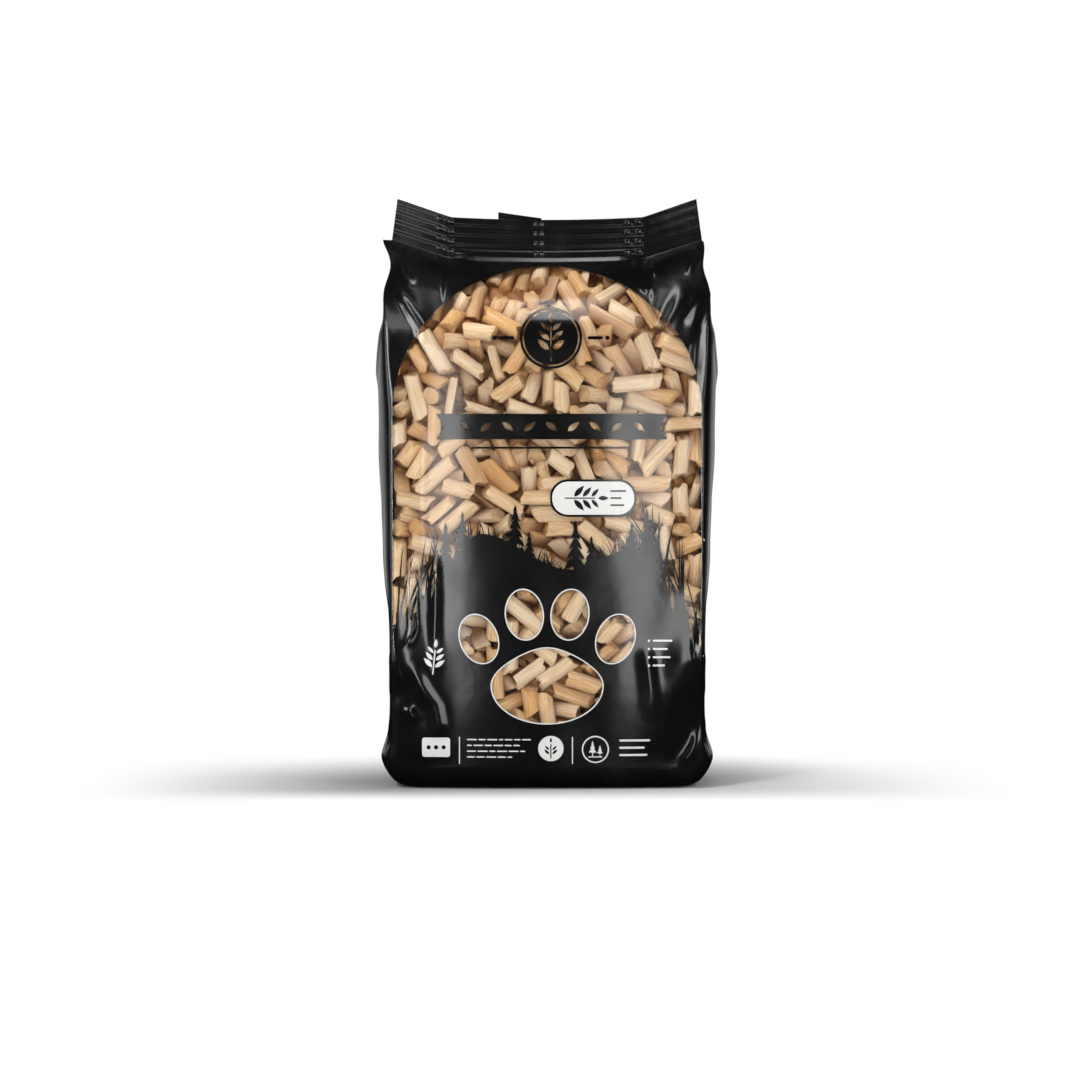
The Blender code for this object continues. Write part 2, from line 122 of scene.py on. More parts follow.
# The heap: where the pellets lie, and how far they and the fill behind them stay off the film
PELLETS_LOW = 0.052
PELLETS_TOP = 0.559
PELLETS_REACH = 0.159
PELLETS_NARROWER = 0.058
SETTLING_ROUNDS = 360
FILL_TOP = 0.5650
PANEL_GAP = 0.0016
GUSSET_GAP = 0.0022
FILL_COLUMNS = 61

EAR_START = HALF_WIDTH - GUSSET_FOLD
SHOULDER_FOOT = BODY_HEIGHT - SHOULDER
WINDOW_HALF = HALF_WIDTH - WINDOW_MARGIN
ARCH_CENTRE = BODY_HEIGHT - WINDOW_HEADROOM - WINDOW_HALF
SEAL_TOP = BODY_HEIGHT + SEAL_HEIGHT

# Edges of folded layers that press through the seal: place across, how far they stand out, and half width
LAYER_EDGES = (
    (-0.1165, 0.0018, 0.0021),
    (-0.1110, 0.0012, 0.0018),
    (-0.1045, 0.0018, 0.0021),
    (0.0870, 0.0012, 0.0022),
    (0.0990, 0.0013, 0.0026),
    (-0.0120, 0.0009, 0.0014),
    (-0.0055, 0.0010, 0.0014),
)

# Soft folds of the filled shape: start and end as shares of the half width and body height, depth, width
FOLDS = (
    ((0.99, 0.99), (0.80, 0.86), 0.0024, 0.024),
    ((0.90, 0.97), (0.74, 0.90), -0.0022, 0.026),
    ((1.00, 0.93), (0.96, 0.80), -0.0025, 0.024),
    ((0.98, 0.34), (0.93, 0.20), 0.0030, 0.026),
    ((0.95, 0.17), (0.78, 0.05), -0.0045, 0.028),
    ((0.88, 0.24), (0.80, 0.09), 0.0030, 0.026),
)
BACK_FOLDS = 0.5

# Creases of the front, in millimetres: places across and up, then how far the ridge stands out and its half width
FRONT_CREASES = (
    (((-144, 250), (-144, 203), (-143, 172), (-148, 158), (-157, 152)), 2.2, 3.6),
    (((-119, 259), (-119, 203), (-120, 159), (-118, 116)), 1.3, 5.0),
    (((-147, 136), (-131, 107), (-119, 90), (-115, 70), (-127, 50)), 2.6, 8.0),
    (((-164, 108), (-128, 18)), 3.4, 24.0),
    (((-150, 90), (-145, 80), (-139, 73)), 1.8, 5.0),
    (((-169, 154), (-164, 129), (-155, 112)), 1.6, 4.0),
    (((104, 156), (108, 128), (111, 100), (108, 72)), 1.7, 7.5),
    (((155, 168), (160, 132), (166, 94), (169, 68)), 1.6, 3.2),
    (((152, 126), (158, 99), (168, 70)), 1.5, 3.0),
    (((162, 65), (161, 51), (153, 37), (141, 24)), 2.6, 5.5),
    (((-162, 569), (-155, 553), (-143, 538)), 1.2, 4.5),
    (((-164, 536), (-151, 517), (-136, 493), (-133, 473)), 2.4, 4.0),
    (((166, 589), (158, 569), (151, 551)), 1.4, 3.0),
    (((152, 544), (142, 522), (130, 499), (117, 471), (110, 428)), 2.4, 8.0),
    (((163, 534), (151, 510), (139, 488)), 1.3, 5.0),
    (((157, 526), (165, 514), (167, 503), (162, 486), (159, 467), (156, 430), (155, 387)), 2.2, 5.8),
    (((110, 552), (119, 563)), 1.6, 5.5),
    (((104, 531), (110, 540)), 1.4, 5.0),
    (((-133, 387), (-136, 311), (-134, 246)), 0.9, 8.0),
    (((131, 419), (134, 354), (131, 262)), 0.7, 9.0),
)
BACK_CREASES = (
    (((-150, 110), (-122, 78), (-110, 60)), 2.4, 5.0),
    (((146, 120), (128, 92), (118, 58)), 2.4, 5.5),
    (((-158, 540), (-138, 505), (-120, 470)), 2.6, 5.0),
    (((160, 536), (140, 500), (128, 455)), 2.4, 5.0),
    (((96, 548), (84, 520), (88, 490)), 1.4, 6.0),
    (((-96, 552), (-88, 528)), 1.4, 6.0),
    (((70, 230), (76, 180), (72, 130)), 1.2, 8.0),
    (((-120, 330), (-126, 260), (-118, 200)), 1.4, 8.0),
)
# Creases of the side gussets: places from front to back and up
SIDE_CREASES = (
    (((-62, 6), (-30, 36), (0, 66)), 1.8, 6.0),
    (((62, 6), (32, 34), (0, 66)), 1.8, 6.0),
    (((0, 66), (2, 180), (-1, 300), (0, 430)), 1.3, 4.0),
    (((-60, 500), (-34, 470), (-6, 430)), 2.2, 7.0),
    (((60, 498), (36, 466), (4, 428)), 2.2, 7.0),
    (((-34, 330), (-24, 250), (-30, 180)), 1.3, 7.0),
    (((30, 300), (24, 220), (34, 150)), 1.3, 7.0),
    (((-40, 150), (-22, 120), (-30, 90)), 1.6, 7.0),
)

# Lamps: name, place, what it faces, width, height, brightness, and whether the film mirrors it
LAMPS = (
    ("left_strip", (-0.300, -1.07, 0.215), (-0.300, 0.0, 0.215), 0.125, 0.53, 4.6, True),
    ("right_strip", (0.262, -1.07, 0.215), (0.262, 0.0, 0.215), 0.150, 0.53, 3.6, True),
    ("key", (-1.3, -1.6, 1.9), (0.0, -0.07, 0.33), 0.40, 0.40, 80.0, False),
    ("front", (0.2, -2.6, 0.95), (0.0, -0.07, 0.3), 0.60, 0.60, 10.0, False),
    ("upper_left", (-0.72, -1.26, 1.6), (0.0, -0.05, 0.5), 0.70, 0.50, 1.7, True),
    ("upper_right", (1.0, -1.05, 1.5), (0.0, -0.05, 0.5), 0.36, 0.36, 4.0, True),
    ("left_ear", (-0.565, -1.10, 1.15), (-0.143, 0.0, 0.60), 0.20, 0.24, 2.6, True),
    ("over_seal", (0.04, -0.62, 2.06), (0.04, 0.0, 0.57), 0.11, 0.80, 6.2, True),
    ("over_left_ear", (-0.225, -0.62, 2.06), (-0.14, 0.0, 0.57), 0.04, 0.50, 2.0, True),
    ("over_right_ear", (0.235, -0.62, 2.06), (0.14, 0.0, 0.57), 0.05, 0.50, 2.4, True),
    ("far_left", (-1.25, -1.0, 0.75), (0.0, 0.0, 0.60), 0.40, 1.3, 7.0, True),
    ("far_right", (1.25, -1.0, 0.75), (0.0, 0.0, 0.60), 0.40, 1.3, 6.0, True),
    ("left_side", (-1.5, -0.20, 0.45), (-0.15, 0.0, 0.32), 0.50, 1.0, 1.6, True),
    ("right_side", (1.5, -0.40, 0.5), (0.15, 0.0, 0.32), 0.25, 1.0, 1.8, True),
)
# Camera: where it stands and what it looks at
CAMERA_PLACE = (-0.0076, -2.7825, 0.364)
CAMERA_TARGET = (-0.0076, -0.074, 0.2675)

BLACK, CLEAR, PAW_CLEAR, PALE = range(4)


class FilmSettings(bpy.types.PropertyGroup):
    """Sizes and colours of the printed film."""

    front_step: bpy.props.FloatProperty(
        name="Front Step",
        description="Distance between the front panel's points",
        default=0.0023, min=0.001, unit="LENGTH",
    )
    edge_step: bpy.props.FloatProperty(
        name="Edge Step",
        description="Distance between rows and columns of the back and sides",
        default=0.0031, min=0.002, unit="LENGTH",
    )
    rib_depth: bpy.props.FloatProperty(
        name="Rib Depth",
        description="Depth of the crimped ribs of the top seal",
        default=0.0007, min=0.0, unit="LENGTH",
    )
    ripple: bpy.props.FloatProperty(
        name="Ripple",
        description="Depth of the broad, shallow waves of the tight film",
        default=0.00035, min=0.0, unit="LENGTH",
    )
    crease_round: bpy.props.FloatProperty(
        name="Crease Rounding",
        description="How far from a side crease the film is rounded",
        default=0.012, min=0.0, unit="LENGTH",
    )
    black: bpy.props.FloatVectorProperty(
        name="Black Ink",
        description="Colour of the black printed film",
        default=(0.0024, 0.0024, 0.0026), size=3, subtype="COLOR",
    )
    pale: bpy.props.FloatVectorProperty(
        name="Pale Ink",
        description="Colour of the pale printed marks",
        default=(0.43, 0.43, 0.42), size=3, subtype="COLOR",
    )


class PelletSettings(bpy.types.PropertyGroup):
    """Sizes and colours of the pellets."""

    count: bpy.props.IntProperty(
        name="Count", description="Pellets in the layers behind the windows", default=385, min=1
    )
    diameter: bpy.props.FloatProperty(
        name="Diameter",
        description="Thickness of a pellet",
        default=0.0178, min=0.004, unit="LENGTH",
    )
    shortest: bpy.props.FloatProperty(
        name="Shortest",
        description="Length of the shortest pellets",
        default=0.027, min=0.006, unit="LENGTH",
    )
    longest: bpy.props.FloatProperty(
        name="Longest",
        description="Length of the longest pellets",
        default=0.062, min=0.006, unit="LENGTH",
    )
    chipping: bpy.props.FloatProperty(
        name="Chipping",
        description="How uneven the broken ends are",
        default=0.006, min=0.0, unit="LENGTH",
    )
    lumps: bpy.props.FloatProperty(
        name="Lumps", description="How uneven the sides are", default=0.0016, min=0.0, unit="LENGTH"
    )
    seed: bpy.props.IntProperty(name="Seed", description="Which random heap is made", default=21, min=0)
    pale: bpy.props.FloatVectorProperty(
        name="Pale Wood",
        description="Colour of the palest pellets",
        default=(0.92, 0.760, 0.555), size=3, subtype="COLOR",
    )
    warm: bpy.props.FloatVectorProperty(
        name="Warm Wood",
        description="Colour of the darker pellets",
        default=(0.77, 0.44, 0.165), size=3, subtype="COLOR",
    )
    # The dark flecks' colour, and also the colour that painted shade mixes towards: on pellets lying further behind
    # the film, over the fill behind them and along its cell borders
    deep: bpy.props.FloatVectorProperty(
        name="Deep Wood",
        description="Colour of the wood deep in the gaps",
        default=(0.32, 0.108, 0.020), size=3, subtype="COLOR",
    )


class StudioSettings(bpy.types.PropertyGroup):
    """The floor, the lamps and the camera's lens."""

    lamp_level: bpy.props.FloatProperty(
        name="Lamp Level",
        description="Brightness of every lamp together",
        default=1.0, min=0.0, subtype="FACTOR",
    )
    room_level: bpy.props.FloatProperty(
        name="Room Level",
        description="Brightness of the light that comes from all round",
        default=0.32, min=0.0, subtype="FACTOR",
    )
    lens: bpy.props.FloatProperty(
        name="Lens",
        description="Focal length of the camera, in millimetres",
        default=85.0, min=10.0,
    )
    shade_reach: bpy.props.FloatProperty(
        name="Shade Reach",
        description="Distance from the bag at which its shadow has faded out",
        default=0.26, min=0.01, unit="LENGTH",
    )


def smooth_step(value):
    value = np.clip(value, 0.0, 1.0)
    return value * value * (3 - 2 * value)


def along(stations, share):
    """Value at each share, easing from one station to the next."""
    share = np.asarray(share, dtype=float)
    found = np.full(share.shape, float(stations[-1][1]))
    for (low, first), (high, second) in reversed(list(zip(stations, stations[1:]))):
        eased = first + (second - first) * smooth_step((share - low) / (high - low))
        found = np.where(share <= high, eased, found)
    return found


def closing(height):
    """Share of the full depth left at a height."""
    return 1.0 - np.clip((height - SHOULDER_FOOT) / SHOULDER, 0.0, 1.0) ** 1.8


def seal_lift(across):
    ear = np.maximum(0.0, (np.abs(across) - EAR_START) / GUSSET_FOLD)
    return EAR_RISE * ear + SEAL_SAG * np.minimum(1.0, np.abs(across) / EAR_START) ** 2


def seal_lean(across):
    return EAR_LEAN * np.maximum(0.0, (np.abs(across) - EAR_START) / GUSSET_FOLD)


def folds_at(across, height):
    moved = np.zeros_like(across)
    for start, end, depth, width in FOLDS:
        x, z = start[0] * HALF_WIDTH, start[1] * BODY_HEIGHT
        dx, dz = end[0] * HALF_WIDTH - x, end[1] * BODY_HEIGHT - z
        share = np.clip(((np.abs(across) - x) * dx + (height - z) * dz) / (dx * dx + dz * dz), 0.0, 1.0)
        gap = np.hypot(np.abs(across) - x - dx * share, height - z - dz * share) / width
        moved += depth * np.exp(-gap * gap)
    return moved


def ridges_at(across, height, creases):
    """How far the listed creases move the film out."""
    moved = np.zeros_like(across)
    for places, rise, width in creases:
        line = np.array(places, dtype=float) / 1000
        lengths = np.hypot(*(line[1:] - line[:-1]).T)
        start = np.concatenate([[0.0], np.cumsum(lengths)]) / lengths.sum()
        best = np.full(across.shape, 1e9)
        place = np.zeros_like(across)
        for index, length in enumerate(lengths):
            dx, dz = line[index + 1] - line[index]
            share = np.clip(((across - line[index, 0]) * dx + (height - line[index, 1]) * dz) / length**2, 0, 1)
            gap = np.hypot(across - line[index, 0] - dx * share, height - line[index, 1] - dz * share)
            nearer = gap < best
            best = np.where(nearer, gap, best)
            place = np.where(nearer, start[index] + share * (start[index + 1] - start[index]), place)
        taper = smooth_step(np.minimum(place, 1 - place) / 0.3 + 0.12)
        moved += rise / 1000 * taper * np.exp(-((best / (width / 1000)) ** 2) * 0.9)
    return moved


def ripple_at(across, height, seed):
    """Broad, shallow waves, between about -1 and 1."""
    chance = np.random.default_rng(seed)
    total = np.zeros_like(across)
    for _ in range(26):
        length = chance.uniform(0.03, 0.16)
        angle = chance.normal(0.0, 0.55)
        phase = chance.uniform(0, 2 * math.pi)
        total += (length / 0.16) ** 1.6 * np.sin(
            2 * math.pi / length * (across * math.cos(angle) + height * math.sin(angle) * 0.6) + phase
        )
    return total / 3.0


def seal_shape(across, height, film):
    """How far the crimped ribs and the edges of the layers under them move the seal, towards the back."""
    above = np.maximum(height - BODY_HEIGHT, 0.0)
    share = above / SEAL_HEIGHT
    wave = np.sin(2 * math.pi * RIB_WAVES * share)
    inside = smooth_step((above - 0.002) / 0.006) * smooth_step((SEAL_HEIGHT - above) / 0.002)
    return film.rib_depth * wave * (1.0 - 0.18 * wave**2) * inside


def layer_edges(across, height):
    """How far the edges of folded layers inside the seal press its front out."""
    above = np.maximum(height - BODY_HEIGHT, 0.0)
    share = above / SEAL_HEIGHT
    crest = smooth_step(-np.sin(2 * math.pi * RIB_WAVES * share) * 1.4)
    moved = 0.0003 * smooth_step((np.abs(across) - 0.1045) / 0.006)
    for middle, rise, width in LAYER_EDGES:
        moved += rise * np.exp(-(((across - middle) / width) ** 2)) * crest
    return moved * smooth_step(above / 0.004)


def round_base(x, y, z, height):
    """The points, drawn in near the floor to the bag's rounded base."""
    inset = BASE_RADIUS - np.sqrt(np.maximum(BASE_RADIUS**2 - np.maximum(BASE_RADIUS - height, 0.0) ** 2, 0.0))
    return np.stack([x * (1 - inset / HALF_WIDTH), y * (1 - inset / GUSSET_FOLD), z], axis=-1)


def panel_point(flat, height, side, film, creased=True):
    """Points of the front (side -1) or back (side 1), from the flat tube: across, and height up it."""
    share = flat / HALF_WIDTH
    body = np.minimum(height, BODY_HEIGHT)
    x = share * (HALF_WIDTH + along(CREASE_SWELL, body / BODY_HEIGHT) * share**4)
    if creased:
        dip = np.exp(-(((body - LOBE_PLACE) / 0.009) ** 2))
        x = x - LOBE_DIP * dip * smooth_step((BODY_HEIGHT - body) / 0.003) * share**4
    left = closing(body)
    depth = SEAL_THICKNESS / 2 + (GUSSET_FOLD - SEAL_THICKNESS / 2) * left
    depth = depth + FRONT_SWELL * left * (1.0 - np.abs(share) ** 2.4)
    standing = smooth_step(body / (2 * BASE_RADIUS))
    depth = depth + folds_at(x, body) * left * standing * (1.0 if side < 0 else BACK_FOLDS)
    near = smooth_step((body - SHOULDER_FOOT) / SHOULDER)
    above = np.maximum(height - BODY_HEIGHT, 0.0)
    lifted = seal_lift(x) * near
    if creased:
        creases = FRONT_CREASES if side < 0 else BACK_CREASES
        room = smooth_step((BODY_HEIGHT + 0.001 - height) / 0.006)
        edge = smooth_step((1.0 - np.abs(share)) / 0.04) * 0.75 + 0.25
        depth = depth + ridges_at(x, body + lifted, creases) * room * standing * edge
        quiet = np.minimum(left * 1.5, 1.0) * standing * edge
        depth = depth + film.ripple * ripple_at(x, body, 3 if side < 0 else 8) * quiet
        folded = 0.0011 * smooth_step((np.abs(x) - 0.1095) / 0.004) * smooth_step((body - 0.505) / 0.03) * room
        depth = depth + folded
        drawn = NECK_ROUNDING * np.log1p(np.exp(-1.23 * np.abs(BODY_HEIGHT - height) / NECK_ROUNDING))
        drawn = drawn * (1.0 if side < 0 else 0.6) * (1 - 0.8 * smooth_step((np.abs(x) - 0.078) / 0.034))
        depth = depth + drawn * (1 - share**8)
    share_up = above / SEAL_HEIGHT
    narrowed = 1 - 0.035 * share_up * smooth_step(np.abs(x) / HALF_WIDTH * 2 - 1)
    y = side * depth + seal_lean(x) * near * (1 + 0.4 * share_up) + seal_shape(x, height, film)
    if creased and side < 0:
        y = y - layer_edges(x, height)
    z = body + lifted + above
    x = x * narrowed
    return round_base(x, y, z, height)


def gusset_point(share, height, side, film):
    """Points of a side gusset (side 1 is the right); share runs from the front crease, -1, to the back, 1."""
    edge = np.full(height.shape, side * HALF_WIDTH)
    above_base = np.maximum(height, BASE_RADIUS)
    front = panel_point(edge, above_base, -1, film)
    back = panel_point(edge, above_base, 1, film)
    middle = (front + back) / 2
    half_depth = (back[..., 1] - front[..., 1]) / 2
    tip = HALF_WIDTH - np.sqrt(np.maximum(GUSSET_FOLD**2 - half_depth**2, 0.0))
    swollen = HALF_WIDTH + along(SIDE_SWELL, above_base / BODY_HEIGHT)
    tucked = smooth_step((height - SHOULDER_FOOT) / SHOULDER * 1.8 - 0.18)
    out = swollen + (tip - swollen) * tucked - np.abs(middle[..., 0])
    inward = 1.0 - np.abs(share) ** (2.2 - 1.2 * tucked)
    near = smooth_step((height - SHOULDER_FOOT) / SHOULDER)
    place = np.abs(middle[..., 0]) + out
    drop = (seal_lift(place) - seal_lift(middle[..., 0])) * near * inward
    lean = (seal_lean(place) - seal_lean(middle[..., 0])) * near * inward
    depth = share * half_depth
    standing = smooth_step(height / (1.6 * BASE_RADIUS))
    loose = (1 - tucked) * standing * smooth_step((1 - np.abs(share)) / 0.15)
    out = out + 0 * share
    pushed = ridges_at(share * 0.064, height + 0 * share, SIDE_CREASES) * loose
    pushed = pushed + film.ripple * 2.2 * ripple_at(share * 0.064, height + 0 * share, 31 + side) * loose
    corner = 0.0042 * np.exp(-(((height - 0.031) / 0.011) ** 2)) - 0.0016 * np.exp(-(((height - 0.054) / 0.008) ** 2))
    pushed = pushed + corner * smooth_step((1 - np.abs(share)) / 0.12)
    x = middle[..., 0] + side * (out * inward + pushed)
    y = middle[..., 1] + depth + lean
    z = height + (middle[..., 2] - above_base) + drop
    return round_base(x, y, z, height)


def flat_place(outline):
    """Where points seen from the front lie on the flat tube."""
    x, z = np.array(outline, dtype=float).T
    flat, height = x.copy(), z.copy()
    for _ in range(8):
        share = flat / HALF_WIDTH
        flat = x / (1 + along(CREASE_SWELL, np.minimum(height, BODY_HEIGHT) / BODY_HEIGHT) * share**4 / HALF_WIDTH)
        height = z - seal_lift(x) * smooth_step((height - SHOULDER_FOOT) / SHOULDER)
    return np.stack([flat, height], axis=-1)


def closed_steps(points, longest):
    """The same closed line with no step longer than asked."""
    points = np.asarray(points, dtype=float)
    kept = []
    for here, after in zip(points, np.roll(points, -1, axis=0)):
        count = max(1, int(math.ceil(np.hypot(*(after - here)) / longest)))
        kept.extend(here + (after - here) * step / count for step in range(count))
    return np.array(kept)


def anticlockwise(points):
    """The same closed line, run the way in which the filled sheet takes its inside."""
    x, z = np.asarray(points).T
    area = (x * np.roll(z, -1) - np.roll(x, -1) * z).sum()
    return points if area > 0 else points[::-1]


def hill_height(across):
    """Top of the black hills, across the window."""
    stations = (
        (-1.0, HILL_FOOT),
        (-0.42, HILL_LEFT),
        (0.14, HILL_DIP),
        (0.55, HILL_RIGHT),
        (1.0, HILL_FOOT),
    )
    return along(stations, np.asarray(across) / WINDOW_HALF)


def arch_outline():
    """The large window: an arch over the hills."""
    angles = np.linspace(0, math.pi, 220)
    over = np.stack([WINDOW_HALF * np.cos(angles), ARCH_CENTRE + WINDOW_HALF * np.sin(angles)], axis=-1)
    across = np.linspace(-WINDOW_HALF, WINDOW_HALF, 200)
    ground = np.stack([across, hill_height(across)], axis=-1)
    return np.concatenate([over, ground])


def oval_outline(centre, width, height, turn=0.0, grow=0.0, point_down=0.0, steps=72):
    """An oval, grown by a margin and narrowed towards its top where it is asked."""
    angles = 2 * math.pi * (np.arange(steps) + 0.5) / steps
    x = (width / 2 + grow) * np.cos(angles)
    z = (height / 2 + grow) * np.sin(angles)
    x = x * (1.0 - point_down * np.maximum(0.0, np.sin(angles)) ** 2)
    return np.stack(
        [centre[0] + x * math.cos(turn) - z * math.sin(turn), centre[1] + x * math.sin(turn) + z * math.cos(turn)],
        axis=-1,
    )


def paw_outlines(grow=0.0):
    """The pad and the four toes of the lower windows."""
    outlines = [oval_outline((0.0, PAD_CENTRE), PAD_WIDTH, PAD_HEIGHT, 0.0, grow, 0.34, steps=120)]
    for place in (-1.5, -0.5, 0.5, 1.5):
        centre = (place * TOE_SPREAD, PAD_CENTRE + TOE_RISE - (TOE_DROP if abs(place) > 1 else 0.0))
        outlines.append(oval_outline(centre, TOE_WIDTH, TOE_HEIGHT, -place * math.radians(14), grow))
    return outlines


def turned(points, centre, turn):
    points = np.asarray(points, dtype=float)
    cos, sin = math.cos(turn), math.sin(turn)
    x, z = points[:, 0], points[:, 1]
    return np.stack([centre[0] + x * cos - z * sin, centre[1] + x * sin + z * cos], axis=-1)


def panel_shape(centre, width, height, radius):
    """A rectangle with rounded corners."""
    x, z = width / 2 - radius, height / 2 - radius
    angles = np.radians(np.arange(0, 360, 15) + 7.5)
    corners = np.stack([np.cos(angles) * radius, np.sin(angles) * radius], axis=-1)
    corners += np.stack([np.sign(np.cos(angles)) * x, np.sign(np.sin(angles)) * z], axis=-1)
    return corners + np.array(centre)


def bar(centre, width, height):
    """A bar with round ends."""
    return panel_shape(centre, width, height, min(width, height) / 2)


def leaf(centre, length, width, turn):
    """A pointed leaf, its stalk end at the centre given."""
    share = np.linspace(0, 1, 13)
    half = width / 2 * np.sin(math.pi * share**0.85)
    up = np.stack([share * length, half], axis=-1)
    down = np.stack([share[1:-1] * length, -half[1:-1]], axis=-1)[::-1]
    return turned(np.concatenate([up, down]), centre, turn)


def sprig(centre, length, turn, pairs=3):
    """A stalk with pairs of leaves and one at its tip."""
    shapes = [turned(bar((length * 0.36, 0), length * 0.74, 0.0013), centre, turn)]
    for index in range(pairs):
        place = length * (0.22 + 0.21 * index)
        size = length * (0.36 - 0.05 * index)
        for way in (-1, 1):
            foot = turned([(place, way * 0.0016)], centre, turn)[0]
            shapes.append(leaf(foot, size, size * 0.36, turn + way * math.radians(48)))
    tip = turned([(length * 0.80, 0)], centre, turn)[0]
    shapes.append(leaf(tip, length * 0.26, length * 0.11, turn))
    return shapes


def fir(x, foot, height, width, tiers=5):
    """A fir seen from the side, with drooping, slightly ragged tiers."""
    right = [(0.0, 1.0)]
    for tier in range(tiers):
        low = 1.0 - (tier + 1) / (tiers + 0.6)
        reach = (tier + 1.0) / tiers
        right += [(reach * 0.40, low + 0.075), (reach * 0.5, low)]
        right += [(reach * 0.36, low + 0.012), (reach * 0.27, low + 0.03)]
        right += [(reach * 0.20, low + 0.010), (reach * 0.16, low + 0.045)]
    right += [(0.045, 0.10), (0.045, -0.12)]
    chance = np.random.default_rng(int(abs(x) * 9000) + 5)
    shape = []
    for way, half in ((1, right), (-1, list(reversed(right[1:])))):
        for across, up in half:
            nudge = chance.uniform(-0.012, 0.012) if 0.02 < up < 0.95 else 0.0
            shape.append((x + way * across * width, foot + (up + nudge) * height))
    return np.array(shape)


def blade(x, foot, height, lean, width):
    """A curved blade of grass."""
    share = np.linspace(0, 1, 9)
    bent = lean * share**1.8
    half = width / 2 * (1 - share) ** 0.7
    left = np.stack([x + bent - half, foot + share * height], axis=-1)
    right = np.stack([x + bent + half, foot + share * height], axis=-1)[:-1]
    return np.concatenate([right, left[::-1]])


def window_print():
    """Marks on the clear film, each with its ink, later ones over earlier: firs and grass on the hills, a round
    badge, and a ribbon with leaves cut out of it."""
    marks = []
    for x, height, width in (
        (-0.108, 0.062, 0.022),
        (-0.090, 0.044, 0.018),
        (-0.034, 0.050, 0.021),
        (-0.019, 0.030, 0.014),
        (0.030, 0.058, 0.024),
        (0.047, 0.036, 0.016),
        (0.090, 0.034, 0.016),
        (0.106, 0.060, 0.022),
    ):
        marks.append((fir(x, float(hill_height(x)) - 0.006, height, width), BLACK))
    chance = np.random.default_rng(12)
    for _ in range(150):
        x = chance.uniform(-0.160, 0.160)
        side = abs(x) / 0.160
        height = chance.uniform(0.010, 0.020) + 0.034 * max(0.0, side - 0.25) * chance.uniform(0.4, 1.3)
        foot = float(hill_height(x)) - 0.004
        lean = chance.uniform(-0.010, 0.010) - 0.006 * x / 0.16
        marks.append((blade(x, foot, height, lean, chance.uniform(0.0011, 0.0021)), BLACK))
    for way in (-1, 1):
        for _ in range(24):
            x = way * chance.uniform(0.108, 0.1625)
            height = chance.uniform(0.035, 0.075) + 0.9 * (abs(x) - 0.108)
            lean = -way * chance.uniform(-0.014, 0.040)
            foot = float(hill_height(x)) - 0.004
            marks.append((blade(x, foot, height, lean, chance.uniform(0.0022, 0.0046)), BLACK))
    badge = (0.004, 0.482)
    marks.append((oval_outline(badge, 0.066, 0.066), BLACK))
    marks.append((oval_outline(badge, 0.0605, 0.0605), CLEAR))
    marks.append((oval_outline(badge, 0.0575, 0.0575), BLACK))
    marks += [(shape, CLEAR) for shape in sprig((badge[0], badge[1] - 0.024), 0.050, math.pi / 2)]
    for way in (-1, 1):
        marks.append((bar((badge[0] + way * 0.047, badge[1]), 0.016, 0.0034), BLACK))
        marks.append((oval_outline((badge[0] + way * 0.060, badge[1]), 0.0046, 0.0046, steps=20), BLACK))
    low, high = 0.3745, 0.4015
    notch = (low + high) / 2
    ribbon = [(-0.118, low), (0.128, low), (0.119, notch), (0.128, high), (-0.118, high), (-0.109, notch)]
    marks.append((ribbon, BLACK))
    for index in range(9):
        x = -0.088 + index * 0.0232
        turn = math.radians(38 if index % 2 else -38)
        start = (x - 0.0078 * math.cos(turn), notch - 0.0078 * math.sin(turn))
        marks.append((leaf(start, 0.0156, 0.0062, turn), CLEAR))
    marks.append((bar((0.004, 0.3655), 0.168, 0.0022), BLACK))
    label = (0.049, 0.312)
    marks.append((panel_shape(label, 0.092, 0.040, 0.019), BLACK))
    marks.append((panel_shape(label, 0.0875, 0.0355, 0.0172), PALE))
    marks += [(shape, BLACK) for shape in sprig((label[0] - 0.030, label[1]), 0.044, 0.0)]
    for index, length in enumerate((0.017, 0.012, 0.015)):
        middle = (label[0] + 0.018 + length / 2, label[1] + 0.0075 - index * 0.0075)
        marks.append((bar(middle, length, 0.0019), BLACK))
    return marks


